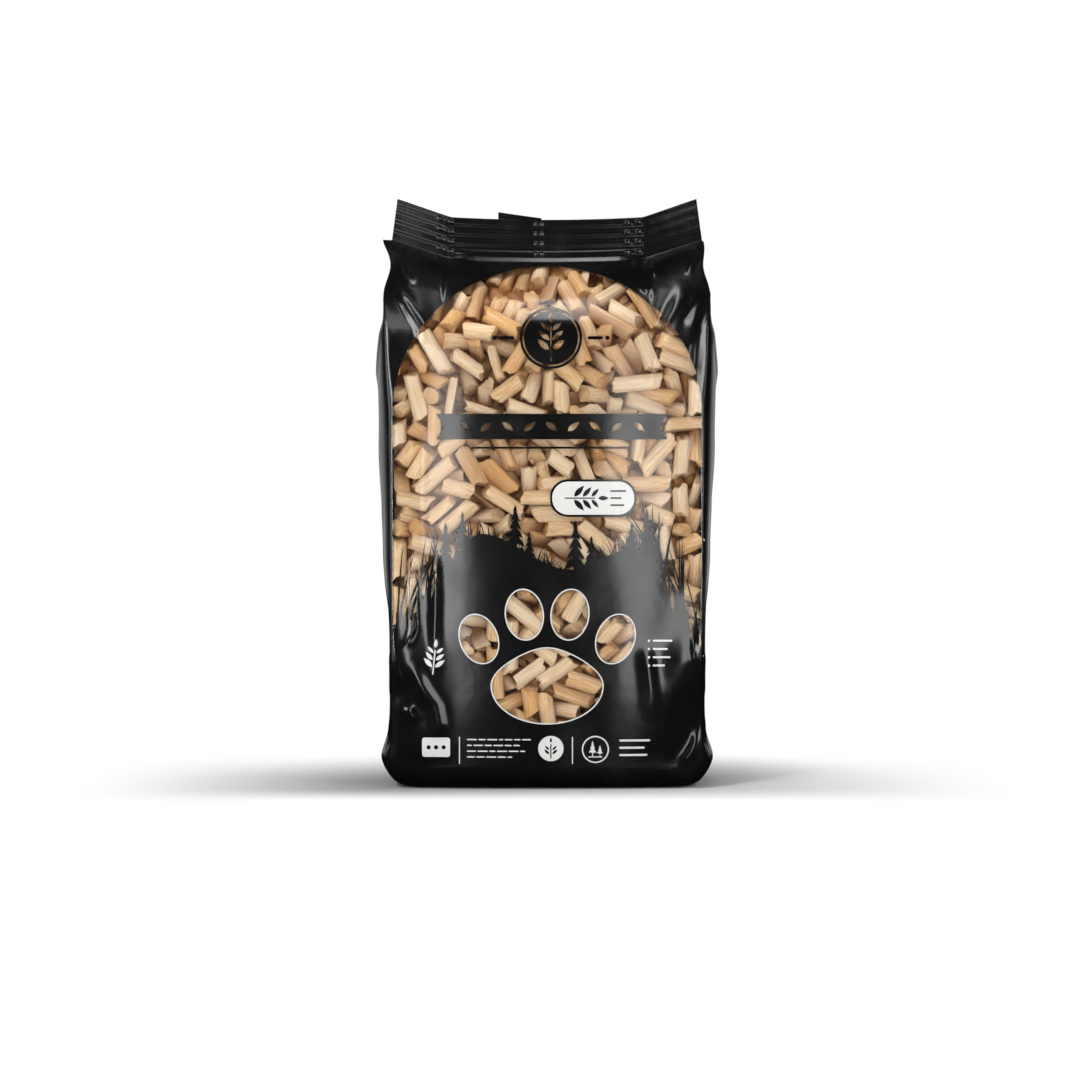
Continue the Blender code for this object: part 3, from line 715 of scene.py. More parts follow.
def field_print():
    """Marks on the black lower field, each with its ink, later ones over earlier."""
    marks = [(outline, PALE) for outline in paw_outlines(0.0013)]
    marks += [(shape, PALE) for shape in sprig((-0.122, 0.124), 0.036, math.radians(84))]
    for index, length in enumerate((0.021, 0.016, 0.019, 0.013)):
        z = 0.160 - index * 0.0088
        marks.append((oval_outline((0.1085, z), 0.0026, 0.0026, steps=16), PALE))
        marks.append((bar((0.1125 + length / 2, z), length, 0.0021), PALE))
    marks.append((panel_shape((-0.1185, 0.046), 0.030, 0.021, 0.003), PALE))
    for index in range(3):
        marks.append((oval_outline((-0.1265 + index * 0.008, 0.046), 0.0046, 0.0046, steps=20), BLACK))
    marks.append((bar((-0.0935, 0.043), 0.0011, 0.029), PALE))
    chance = np.random.default_rng(4)
    for row, reach in enumerate((0.062, 0.054, 0.058, 0.044)):
        x = -0.0855
        while x < -0.0855 + reach:
            length = chance.uniform(0.004, 0.011)
            marks.append((bar((x + length / 2, 0.0545 - row * 0.0062), length, 0.0013), PALE))
            x += length + 0.0017
    marks.append((oval_outline((0.004, 0.045), 0.0270, 0.0270), PALE))
    marks += [(shape, BLACK) for shape in sprig((0.004, 0.0345), 0.021, math.pi / 2, pairs=2)]
    marks.append((bar((0.0270, 0.043), 0.0011, 0.029), PALE))
    ring = (0.0515, 0.044)
    marks.append((oval_outline(ring, 0.0290, 0.0290), PALE))
    marks.append((oval_outline(ring, 0.0262, 0.0262), BLACK))
    marks.append((fir(ring[0] - 0.003, ring[1] - 0.006, 0.015, 0.0085, tiers=3), PALE))
    marks.append((fir(ring[0] + 0.0048, ring[1] - 0.006, 0.0105, 0.0065, tiers=3), PALE))
    marks.append((bar((ring[0], ring[1] - 0.0080), 0.015, 0.0011), PALE))
    for index, length in enumerate((0.033, 0.027, 0.030)):
        marks.append((bar((0.0770 + length / 2, 0.0535 - index * 0.0078), length, 0.0022), PALE))
    return marks


def filled_sheet(boundary, lattice, outlines, clearance):
    """Triangles that fill a boundary and follow every outline.

    Returns the flat places, the triangles and, for each triangle, which outlines it lies inside.
    """
    near = [np.asarray(outline) for outline in outlines] + [boundary]
    tree = kdtree.KDTree(sum(len(line) for line in near))
    for line in near:
        for x, z in line:
            tree.insert((x, z, 0.0), 0)
    tree.balance()
    loose = [place for place in lattice if tree.find((place[0], place[1], 0.0))[2] > clearance]
    places, faces = [tuple(place) for place in boundary], [list(range(len(boundary)))]
    for outline in outlines:
        faces.append(list(range(len(places), len(places) + len(outline))))
        places += [tuple(place) for place in outline]
    places += [tuple(place) for place in loose]
    found = delaunay_2d_cdt([Vector(place) for place in places], [], faces, 1, 1e-7, True)
    flat = np.array([tuple(place) for place in found[0]])
    triangles = np.array([tuple(face) for face in found[2]])
    return flat, triangles, found[5]


def without_specks(flat, triangles, ink):
    """The ink of each triangle, with the clear specks left between blades of grass printed over.

    Low down, where only slivers of the window reach, larger ones are printed over too.
    """
    ink = np.array(ink)
    clear = triangles[ink == CLEAR]
    label, before = np.arange(len(flat)), None
    while before is None or (label != before).any():
        before = label.copy()
        lowest = label[clear].min(axis=1)
        for corner in range(3):
            np.minimum.at(label, clear[:, corner], lowest)
        label = label[label]
    one, other = flat[clear[:, 1]] - flat[clear[:, 0]], flat[clear[:, 2]] - flat[clear[:, 0]]
    areas = np.abs(one[:, 0] * other[:, 1] - one[:, 1] * other[:, 0]) / 2
    sizes = np.bincount(label[clear[:, 0]], weights=areas, minlength=len(flat))
    owner = label[triangles[:, 0]]
    smallest = np.where(flat[owner, 1] < SLIVER_HEIGHT, SLIVER_AREA, SPECK_AREA)
    ink[(ink == CLEAR) & (sizes[owner] < smallest)] = BLACK
    return ink


def film_rows(film):
    """Heights of the rows: close together round the base and in the seal."""
    low = BASE_RADIUS * (1 - np.cos(np.linspace(0, math.pi / 2, 13)[:-1]))
    body = np.linspace(BASE_RADIUS, BODY_HEIGHT - 0.012, int((BODY_HEIGHT - 0.012 - BASE_RADIUS) / film.edge_step))
    neck = np.linspace(BODY_HEIGHT - 0.012, BODY_HEIGHT, 9)[1:]
    seal = np.linspace(BODY_HEIGHT, SEAL_TOP, 53)[1:]
    return np.concatenate([low, body, neck, seal])


def film_columns(film):
    count = 2 * int(HALF_WIDTH / film.edge_step)
    return np.linspace(-HALF_WIDTH, HALF_WIDTH, count + 1)


def front_lattice(film):
    """Loose points of the front panel, a little off the rows and columns of its edges."""
    places = []
    low = BASE_RADIUS * (1 - np.cos(np.linspace(0.08, math.pi / 2, 13)))
    body = np.arange(BASE_RADIUS + 0.002, BODY_HEIGHT - 0.006, film.front_step)
    neck = np.arange(BODY_HEIGHT - 0.006, BODY_HEIGHT, 0.0014)
    for index, height in enumerate(np.concatenate([low, body, neck])):
        shift = 0.5 * film.front_step * (index % 2)
        for flat in np.arange(-HALF_WIDTH + 0.0012 + shift, HALF_WIDTH - 0.001, film.front_step):
            places.append((flat, height))
    fine = np.unique(
        np.concatenate(
            [
                np.arange(-HALF_WIDTH + 0.0015, HALF_WIDTH - 0.001, 0.0024),
                np.arange(-0.119, -0.096, 0.0007),
                np.arange(-0.016, 0.002, 0.0006),
                np.arange(0.080, 0.108, 0.0008),
            ]
        ).round(5)
    )
    fine = fine[np.concatenate([[True], np.diff(fine) > 0.0003])]
    for height in np.linspace(BODY_HEIGHT + 0.0007, SEAL_TOP - 0.0007, 50):
        places += [(flat, height) for flat in fine]
    return places


class SkinBuilder:
    """Gathers the points, faces and ink of the film's one closed skin."""

    def __init__(self):
        self.points, self.faces, self.ink, self.apart, self.rounding = [], [], [], [], []
        self.count = 0

    def add(self, points, faces, ink, apart=False, rounding=0.0):
        points = np.asarray(points).reshape(-1, 3)
        self.points.append(points)
        self.rounding.append(np.broadcast_to(rounding, (len(points),)))
        for face in faces:
            self.faces.append([int(index) + self.count for index in face])
        self.ink += list(ink) if not isinstance(ink, int) else [ink] * len(faces)
        self.apart += [apart] * len(faces)
        self.count += len(points)

    def add_grid(self, grid, flip, apart=False, rounding=0.0):
        rows, columns = grid.shape[:2]
        faces = []
        for row in range(rows - 1):
            for column in range(columns - 1):
                at = row * columns + column
                face = (at, at + 1, at + columns + 1, at + columns)
                faces.append(face[::-1] if flip else face)
        rounding = rounding if np.isscalar(rounding) else rounding.reshape(-1)
        self.add(grid, faces, BLACK, apart, rounding)

    def join(self):
        """The welded skin: points, faces, ink, and whether each face is shaded apart from its neighbours."""
        mesh = bmesh.new()
        rounding = np.concatenate(self.rounding)
        soft = mesh.verts.layers.float.new("soft")
        for point, amount in zip(np.concatenate(self.points), rounding):
            mesh.verts.new(point)[soft] = amount
        mesh.verts.ensure_lookup_table()
        ink_layer = mesh.faces.layers.int.new("ink")
        apart_layer = mesh.faces.layers.int.new("apart")
        for face, ink, apart in zip(self.faces, self.ink, self.apart):
            made = mesh.faces.new([mesh.verts[index] for index in face])
            made[ink_layer] = ink
            made[apart_layer] = int(apart)
        bmesh.ops.remove_doubles(mesh, verts=mesh.verts, dist=2e-5)
        mesh.verts.index_update()
        points = np.array([vertex.co for vertex in mesh.verts])
        soft_values = np.array([vertex[soft] for vertex in mesh.verts])
        faces = [[vertex.index for vertex in face.verts] for face in mesh.faces]
        ink = np.array([face[ink_layer] for face in mesh.faces])
        apart = np.array([face[apart_layer] for face in mesh.faces], dtype=bool)
        edges = np.array([[vertex.index for vertex in edge.verts] for edge in mesh.edges])
        open_edges = sum(1 for edge in mesh.edges if len(edge.link_faces) != 2)
        mesh.free()
        print("skin:", len(points), "points,", len(faces), "faces,", open_edges, "open edges")
        return points, faces, ink, apart, edges, soft_values


def relax(points, edges, amount, rounds=26):
    """Draws each point towards the middle of its neighbours, by the amount given for it."""
    first, second = edges.T
    count = np.bincount(first, minlength=len(points)) + np.bincount(second, minlength=len(points))
    for _ in range(rounds):
        total = np.zeros_like(points)
        np.add.at(total, first, points[second])
        np.add.at(total, second, points[first])
        points = points + (total / np.maximum(count, 1)[:, None] - points) * (0.5 * amount)[:, None]
    return points


def build_skin(film):
    """The whole film as one closed skin."""
    rows, columns = film_rows(film), film_columns(film)
    skin = SkinBuilder()

    def soft_at(gap, height):
        high = 1.0 - 0.9 * smooth_step((height - 0.44) / 0.10)
        return smooth_step(1.15 - gap / film.crease_round) * high * (height < BODY_HEIGHT - 0.004)

    outlines = [arch_outline()] + paw_outlines()
    windows = len(outlines)
    marks = [(outline, "field", ink) for outline, ink in field_print()]
    marks += [(outline, "window", ink) for outline, ink in window_print()]
    outlines += [mark[0] for mark in marks]
    outlines = [anticlockwise(closed_steps(flat_place(closed_steps(outline, 0.0022)), 0.004)) for outline in outlines]
    bottom = [(flat, rows[0]) for flat in columns]
    right = [(HALF_WIDTH, height) for height in rows[1:]]
    top = [(flat, rows[-1]) for flat in columns[-2::-1]]
    left = [(-HALF_WIDTH, height) for height in rows[-2:0:-1]]
    boundary = np.array(bottom + right + top + left)
    flat, triangles, inside = filled_sheet(boundary, front_lattice(film), outlines, film.front_step * 0.3)
    ink = []
    for owners in inside:
        owned = sorted(set(owners))
        paw = any(1 < owner <= windows for owner in owned)
        area = "window" if 1 in owned else "field"
        over = [marks[owner - windows - 1] for owner in owned if owner > windows]
        printed = [mark[2] for mark in over if mark[1] == area]
        plain = CLEAR if 1 in owned else BLACK
        ink.append(PAW_CLEAR if paw else printed[-1] if printed else plain)
    ink = without_specks(flat, triangles, ink)
    points = panel_point(flat[:, 0], flat[:, 1], -1, film)
    skin.add(points, triangles, ink, rounding=soft_at(HALF_WIDTH - np.abs(flat[:, 0]), flat[:, 1]))

    across, height = np.meshgrid(columns, rows)
    back = panel_point(across, height, 1, film)
    skin.add_grid(back, flip=True, rounding=soft_at(HALF_WIDTH - np.abs(across), height))

    body_rows = rows[rows <= BODY_HEIGHT + 1e-9]
    shares = np.linspace(-1, 1, 43)
    share_grid, height_grid = np.meshgrid(shares, body_rows)
    front = panel_point(columns, np.full(columns.shape, rows[-1]), -1, film)
    ring = {}
    for side in (1, -1):
        gusset = gusset_point(share_grid, height_grid, side, film)
        gusset[:, 0] = panel_point(np.full(body_rows.shape, side * HALF_WIDTH), body_rows, -1, film)
        gusset[:, -1] = panel_point(np.full(body_rows.shape, side * HALF_WIDTH), body_rows, 1, film)
        soft = soft_at((1 - np.abs(share_grid)) * GUSSET_FOLD, height_grid)
        skin.add_grid(gusset, flip=side < 0, rounding=soft)
        ring[side] = gusset[0]
        top_row = gusset[-1]
        half = len(shares) // 2
        notch = [(k, k + 1, len(shares) - 2 - k, len(shares) - 1 - k) for k in range(half - 1)]
        notch.append((half - 1, half, half + 1))
        skin.add(top_row, [face if side > 0 else face[::-1] for face in notch], BLACK, apart=True)
        seal_rows = rows[rows >= BODY_HEIGHT - 1e-9]
        edge = np.full(seal_rows.shape, side * HALF_WIDTH)
        end = np.stack([panel_point(edge, seal_rows, way, film) for way in (-1, 1)], axis=1)
        skin.add_grid(end, flip=side < 0, apart=True)
    top_strip = np.stack([front, panel_point(columns, np.full(columns.shape, rows[-1]), 1, film)], axis=0)
    skin.add_grid(top_strip, flip=False, apart=True)

    low = np.full(columns.shape, 0.0)
    front_low, back_low = panel_point(columns, low, -1, film), panel_point(columns, low, 1, film)
    edge_line = np.concatenate([front_low, ring[1][1:-1], back_low[::-1], ring[-1][1:-1][::-1]])
    inner = [
        (x, y) for x in np.arange(-0.135, 0.136, 0.009) for y in np.arange(-0.034, 0.035, 0.0085)
    ]
    base, base_faces, _ = filled_sheet(edge_line[:, :2], inner, [], 0.004)
    gap = np.minimum(0.145 - np.abs(base[:, 0]), 0.040 - np.abs(base[:, 1]))
    lifted = 0.0014 * smooth_step(gap / 0.008) * (np.arange(len(base)) >= len(edge_line))
    sunk = np.stack([base[:, 0], base[:, 1], lifted], axis=-1)
    skin.add(sunk, [face[::-1] for face in base_faces], BLACK, apart=True)
    return skin.join()


def corner_normals(points, faces, apart):
    """For every corner, the smooth normal of its point, or the face's own where it is shaded apart."""
    face_normals = np.zeros((len(faces), 3))
    total = np.zeros_like(points)
    for index, face in enumerate(faces):
        corners = points[face]
        spread = np.cross(corners - corners[0], np.roll(corners, -1, axis=0) - corners[0]).sum(axis=0)
        face_normals[index] = spread
        if not apart[index]:
            total[face] += spread
    lengths = np.linalg.norm(face_normals, axis=1, keepdims=True)
    face_normals /= np.maximum(lengths, 1e-20)
    total /= np.maximum(np.linalg.norm(total, axis=1, keepdims=True), 1e-20)
    return face_normals, total


def add_piece(name, points, faces, material, normals=None):
    """A finished mesh object at the origin; normals, where given, are one for each corner."""
    mesh = bpy.data.meshes.new(name)
    mesh.from_pydata([tuple(point) for point in points], [], [tuple(int(i) for i in face) for face in faces])
    mesh.update()
    mesh.shade_smooth()
    if normals is not None:
        mesh.normals_split_custom_set([tuple(normal) for normal in normals])
    mesh.materials.append(material)
    made = bpy.data.objects.new(name, mesh)
    bpy.context.scene.collection.objects.link(made)
    return made


def piece_of_skin(name, skin, chosen, material):
    points, faces, apart, face_normals, point_normals = skin
    kept = [index for index in range(len(faces)) if chosen[index]]
    used = sorted({corner for index in kept for corner in faces[index]})
    place = {old: new for new, old in enumerate(used)}
    normals = []
    for index in kept:
        for corner in faces[index]:
            normals.append(face_normals[index] if apart[index] else point_normals[corner])
    kept_faces = [[place[corner] for corner in faces[index]] for index in kept]
    return add_piece(name, points[used], kept_faces, material, normals)


def finish_piece(piece, slot, *nodes):
    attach(piece, "root")
    if nodes:
        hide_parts(*nodes)
    return piece


def new_material(name):
    made = bpy.data.materials.new(name)
    made.use_nodes = True
    tree = made.node_tree
    tree.nodes.clear()
    return made, tree, tree.nodes.new("ShaderNodeOutputMaterial")


def place_node(tree, kind, **settings):
    made = tree.nodes.new(kind)
    for name, value in settings.items():
        if hasattr(made, name):
            setattr(made, name, value)
        else:
            raise RuntimeError(f"{kind} has no {name}")
    return made


def math_node(tree, operation, first, second=None, third=None, clamp=False):
    made = place_node(tree, "ShaderNodeMath", operation=operation, use_clamp=clamp)
    for socket, value in zip(made.inputs, (first, second, third)):
        if value is None:
            continue
        if isinstance(value, (int, float)):
            socket.default_value = value
        else:
            tree.links.new(value, socket)
    return made.outputs[0]


def ramp_between(tree, value, low, high, to_low=0.0, to_high=1.0, smooth=True):
    made = place_node(tree, "ShaderNodeMapRange", interpolation_type="SMOOTHSTEP" if smooth else "LINEAR")
    tree.links.new(value, made.inputs["Value"])
    for name, number in (("From Min", low), ("From Max", high), ("To Min", to_low), ("To Max", to_high)):
        made.inputs[name].default_value = number
    return made.outputs["Result"]


def mix_colours(tree, share, first, second):
    made = place_node(tree, "ShaderNodeMix", data_type="RGBA")
    tree.links.new(share, made.inputs["Factor"])
    for socket, value in ((made.inputs[6], first), (made.inputs[7], second)):
        if isinstance(value, (tuple, list)):
            socket.default_value = (*value[:3], 1.0)
        else:
            tree.links.new(value, socket)
    return made.outputs[2]


def group_sockets(tree, inputs, outputs):
    for name, kind, value in inputs:
        socket = tree.interface.new_socket(name=name, in_out="INPUT", socket_type=kind)
        if value is not None:
            socket.default_value = value
    for name, kind in outputs:
        tree.interface.new_socket(name=name, in_out="OUTPUT", socket_type=kind)
    return tree.nodes.new("NodeGroupInput"), tree.nodes.new("NodeGroupOutput")


def film_surface_group():
    """Fine ripple, rubbed patches and hair scratches of thin glossy film."""
    tree = bpy.data.node_groups.new("Film Surface", "ShaderNodeTree")
    given, result = group_sockets(
        tree,
        (
            ("Smooth Roughness", "NodeSocketFloat", 0.17),
            ("Rubbed Roughness", "NodeSocketFloat", 0.32),
            ("Scratches", "NodeSocketFloat", 0.5),
        ),
        tuple((name, "NodeSocketFloat") for name in ("Roughness", "Height", "Scratch", "Rubbed")),
    )
    place = tree.nodes.new("ShaderNodeTexCoord").outputs["Object"]
    broad = place_node(tree, "ShaderNodeTexNoise")
    broad.inputs["Scale"].default_value = 17.0
    broad.inputs["Detail"].default_value = 3.0
    tree.links.new(place, broad.inputs["Vector"])
    rubbed = ramp_between(tree, broad.outputs["Fac"], 0.46, 0.78)
    fine = place_node(tree, "ShaderNodeTexNoise")
    fine.inputs["Scale"].default_value = 420.0
    fine.inputs["Detail"].default_value = 2.0
    tree.links.new(place, fine.inputs["Vector"])
    stretched = place_node(tree, "ShaderNodeMapping")
    stretched.inputs["Scale"].default_value = (90.0, 90.0, 9.0)
    stretched.inputs["Rotation"].default_value = (0.0, 0.35, 0.0)
    tree.links.new(place, stretched.inputs["Vector"])
    hair = place_node(tree, "ShaderNodeTexNoise")
    hair.inputs["Scale"].default_value = 6.0
    hair.inputs["Detail"].default_value = 1.0
    tree.links.new(stretched.outputs[0], hair.inputs["Vector"])
    line = math_node(tree, "ABSOLUTE", math_node(tree, "SUBTRACT", hair.outputs["Fac"], 0.5))
    scratch = ramp_between(tree, line, 0.006, 0.0)
    scratch = math_node(tree, "MULTIPLY", scratch, rubbed)
    scratch = math_node(tree, "MULTIPLY", scratch, given.outputs["Scratches"])
    spread = math_node(tree, "SUBTRACT", given.outputs["Rubbed Roughness"], given.outputs["Smooth Roughness"])
    rough = math_node(tree, "MULTIPLY_ADD", rubbed, spread, given.outputs["Smooth Roughness"])
    rough = math_node(tree, "MULTIPLY_ADD", scratch, 0.25, rough)
    wavy = place_node(tree, "ShaderNodeTexNoise")
    wavy.inputs["Scale"].default_value = 55.0
    wavy.inputs["Detail"].default_value = 2.0
    tree.links.new(place, wavy.inputs["Vector"])
    height = math_node(tree, "MULTIPLY_ADD", fine.outputs["Fac"], 0.05, wavy.outputs["Fac"])
    height = math_node(tree, "MULTIPLY_ADD", scratch, -0.06, height)
    for name, value in (("Roughness", rough), ("Height", height), ("Scratch", scratch), ("Rubbed", rubbed)):
        tree.links.new(value, result.inputs[name])
    return tree


def shared_group(name, build):
    return bpy.data.node_groups.get(name) or build()


def use_film_surface(tree, smooth, rubbed, scratches):
    made = tree.nodes.new("ShaderNodeGroup")
    made.node_tree = shared_group("Film Surface", film_surface_group)
    made.inputs["Smooth Roughness"].default_value = smooth
    made.inputs["Rubbed Roughness"].default_value = rubbed
    made.inputs["Scratches"].default_value = scratches
    return made


def bump_from(tree, height, distance, strength=1.0):
    made = tree.nodes.new("ShaderNodeBump")
    made.inputs["Distance"].default_value = distance
    made.inputs["Strength"].default_value = strength
    tree.links.new(height, made.inputs["Height"])
    return made.outputs["Normal"]


def black_film_material(film):
    made, tree, output = new_material("black_printed_film")
    surface = use_film_surface(tree, 0.17, 0.27, 0.6)
    shader = tree.nodes.new("ShaderNodeBsdfPrincipled")
    worn = tuple(min(c * 1.5 + 0.001, 1) for c in film.black)
    colour = mix_colours(tree, surface.outputs["Rubbed"], tuple(film.black), worn)
    scratch = math_node(tree, "MULTIPLY", surface.outputs["Scratch"], 0.5)
    colour = mix_colours(tree, scratch, colour, (0.03, 0.03, 0.031))
    tree.links.new(colour, shader.inputs["Base Color"])
    split = tree.nodes.new("ShaderNodeSeparateXYZ")
    tree.links.new(tree.nodes.new("ShaderNodeTexCoord").outputs["Object"], split.inputs[0])
    crimped = ramp_between(tree, split.outputs[2], BODY_HEIGHT + 0.002, BODY_HEIGHT + 0.009)
    rough = math_node(tree, "MULTIPLY_ADD", crimped, 0.05, surface.outputs["Roughness"])
    tree.links.new(rough, shader.inputs["Roughness"])
    tree.links.new(bump_from(tree, surface.outputs["Height"], 0.0002), shader.inputs["Normal"])
    shader.inputs["IOR"].default_value = 1.5
    tree.links.new(math_node(tree, "MULTIPLY_ADD", crimped, -0.25, 0.5), shader.inputs["Coat Weight"])
    shader.inputs["Coat Roughness"].default_value = 0.09
    shader.inputs["Coat IOR"].default_value = 1.5
    tree.links.new(shader.outputs[0], output.inputs["Surface"])
    return made


def pale_ink_material(film):
    made, tree, output = new_material("pale_ink_on_film")
    surface = use_film_surface(tree, 0.24, 0.38, 0.8)
    speck = place_node(tree, "ShaderNodeTexNoise")
    speck.inputs["Scale"].default_value = 900.0
    tree.links.new(tree.nodes.new("ShaderNodeTexCoord").outputs["Object"], speck.inputs["Vector"])
    thin = math_node(tree, "MULTIPLY", ramp_between(tree, speck.outputs["Fac"], 0.60, 0.74), 0.18)
    shader = tree.nodes.new("ShaderNodeBsdfPrincipled")
    colour = mix_colours(tree, thin, tuple(film.pale), (0.35, 0.35, 0.35))
    scratch = math_node(tree, "MULTIPLY", surface.outputs["Scratch"], 0.6)
    colour = mix_colours(tree, scratch, colour, (0.20, 0.20, 0.20))
    tree.links.new(colour, shader.inputs["Base Color"])
    tree.links.new(surface.outputs["Roughness"], shader.inputs["Roughness"])
    tree.links.new(bump_from(tree, surface.outputs["Height"], 0.0002), shader.inputs["Normal"])
    shader.inputs["Coat Weight"].default_value = 0.4
    shader.inputs["Coat Roughness"].default_value = 0.12
    tree.links.new(shader.outputs[0], output.inputs["Surface"])
    return made


def clear_film_material():
    made, tree, output = new_material("clear_film")
    surface = use_film_surface(tree, 0.125, 0.19, 0.5)
    normal = bump_from(tree, surface.outputs["Height"], 0.00016)
    mirror = place_node(tree, "ShaderNodeBsdfAnisotropic")
    mirror.inputs["Color"].default_value = (1, 1, 1, 1)
    tree.links.new(surface.outputs["Roughness"], mirror.inputs["Roughness"])
    tree.links.new(normal, mirror.inputs["Normal"])
    clear = tree.nodes.new("ShaderNodeBsdfTransparent")
    clear.inputs["Color"].default_value = (0.985, 0.985, 0.98, 1)
    haze = tree.nodes.new("ShaderNodeBsdfDiffuse")
    haze.inputs["Color"].default_value = (0.86, 0.86, 0.86, 1)
    tree.links.new(normal, haze.inputs["Normal"])
    milky = tree.nodes.new("ShaderNodeMixShader")
    share = math_node(tree, "MULTIPLY_ADD", surface.outputs["Rubbed"], 0.007, 0.001)
    share = math_node(tree, "MULTIPLY_ADD", surface.outputs["Scratch"], 0.10, share)
    tree.links.new(share, milky.inputs["Fac"])
    tree.links.new(clear.outputs[0], milky.inputs[1])
    tree.links.new(haze.outputs[0], milky.inputs[2])
    edge = tree.nodes.new("ShaderNodeFresnel")
    edge.inputs["IOR"].default_value = 1.55
    tree.links.new(normal, edge.inputs["Normal"])
    glossy = tree.nodes.new("ShaderNodeMixShader")
    tree.links.new(math_node(tree, "MULTIPLY", edge.outputs[0], 0.80, clamp=True), glossy.inputs["Fac"])
    tree.links.new(milky.outputs[0], glossy.inputs[1])
    tree.links.new(mirror.outputs[0], glossy.inputs[2])
    tree.links.new(glossy.outputs[0], output.inputs["Surface"])
    return made


def wood_fibre_group():
    """Pressed-sawdust grain: streaks along the pellet, flecks and a coarse crumb."""
    tree = bpy.data.node_groups.new("Pressed Wood", "ShaderNodeTree")
    given, result = group_sockets(
        tree,
        (
            ("Place", "NodeSocketVector", None),
            ("Streaks", "NodeSocketFloat", 1.0),
            ("Flecks", "NodeSocketFloat", 1.0),
        ),
        (("Tone", "NodeSocketFloat"), ("Fleck", "NodeSocketFloat"), ("Height", "NodeSocketFloat")),
    )
    long_way = place_node(tree, "ShaderNodeMapping")
    long_way.inputs["Scale"].default_value = (7.0, 7.0, 1.1)
    tree.links.new(given.outputs["Place"], long_way.inputs["Vector"])
    streak = place_node(tree, "ShaderNodeTexNoise")
    streak.inputs["Scale"].default_value = 1.6
    streak.inputs["Detail"].default_value = 5.0
    streak.inputs["Roughness"].default_value = 0.62
    tree.links.new(long_way.outputs[0], streak.inputs["Vector"])
    around = math_node(tree, "SUBTRACT", streak.outputs["Fac"], 0.5)
    tone = math_node(tree, "MULTIPLY", around, given.outputs["Streaks"])
    crumb = place_node(tree, "ShaderNodeTexNoise")
    crumb.inputs["Scale"].default_value = 17.0
    crumb.inputs["Detail"].default_value = 4.0
    crumb.inputs["Roughness"].default_value = 0.7
    tree.links.new(given.outputs["Place"], crumb.inputs["Vector"])
    fleck = ramp_between(tree, crumb.outputs["Fac"], 0.61, 0.72)
    fleck = math_node(tree, "MULTIPLY", fleck, given.outputs["Flecks"])
    height = math_node(tree, "MULTIPLY_ADD", crumb.outputs["Fac"], 0.55, streak.outputs["Fac"])
    height = math_node(tree, "MULTIPLY_ADD", fleck, -0.2, height)
    for name, value in (("Tone", tone), ("Fleck", fleck), ("Height", height)):
        tree.links.new(value, result.inputs[name])
    return tree


def pellet_material(pellets):
    made, tree, output = new_material("pressed_wood_pellets")
    place = place_node(tree, "ShaderNodeAttribute", attribute_name="rod_place")
    own = place_node(tree, "ShaderNodeAttribute", attribute_name="tone")
    spread = place_node(tree, "ShaderNodeVectorMath", operation="SCALE")
    spread.inputs[0].default_value = (13.0, 29.0, 47.0)
    tree.links.new(own.outputs["Fac"], spread.inputs["Scale"])
    shifted = place_node(tree, "ShaderNodeVectorMath", operation="ADD")
    tree.links.new(place.outputs["Vector"], shifted.inputs[0])
    tree.links.new(spread.outputs[0], shifted.inputs[1])
    fibre = tree.nodes.new("ShaderNodeGroup")
    fibre.node_tree = shared_group("Pressed Wood", wood_fibre_group)
    tree.links.new(shifted.outputs[0], fibre.inputs["Place"])
    split = tree.nodes.new("ShaderNodeSeparateXYZ")
    tree.links.new(place.outputs["Vector"], split.inputs[0])
    end = ramp_between(tree, math_node(tree, "ABSOLUTE", split.outputs["Z"]), 0.44, 0.50)
    warmth = math_node(tree, "MULTIPLY_ADD", fibre.outputs["Tone"], 3.0, own.outputs["Fac"], clamp=True)
    colour = mix_colours(tree, warmth, tuple(pellets.pale), tuple(pellets.warm))
    colour = mix_colours(tree, math_node(tree, "MULTIPLY", end, 0.30), colour, tuple(pellets.warm))
    colour = mix_colours(tree, math_node(tree, "MULTIPLY", fibre.outputs["Fleck"], 0.75), colour, tuple(pellets.deep))
    # Painted shade: wood lying further behind the film is mixed towards the dark colour, standing in for the shade
    # between and behind the pellets
    sunk = place_node(tree, "ShaderNodeAttribute", attribute_name="sunk")
    shade = ramp_between(tree, sunk.outputs["Fac"], 0.0030, 0.023, 0.0, 0.90)
    colour = mix_colours(tree, shade, colour, tuple(pellets.deep))
    shader = tree.nodes.new("ShaderNodeBsdfPrincipled")
    tree.links.new(colour, shader.inputs["Base Color"])
    rough = math_node(tree, "MULTIPLY_ADD", end, 0.18, 0.62)
    rough = math_node(tree, "MULTIPLY_ADD", fibre.outputs["Fleck"], 0.15, rough)
    tree.links.new(rough, shader.inputs["Roughness"])
    tree.links.new(bump_from(tree, fibre.outputs["Height"], 0.0021, 0.9), shader.inputs["Normal"])
    shader.inputs["Specular IOR Level"].default_value = 0.35
    tree.links.new(shader.outputs[0], output.inputs["Surface"])
    return made


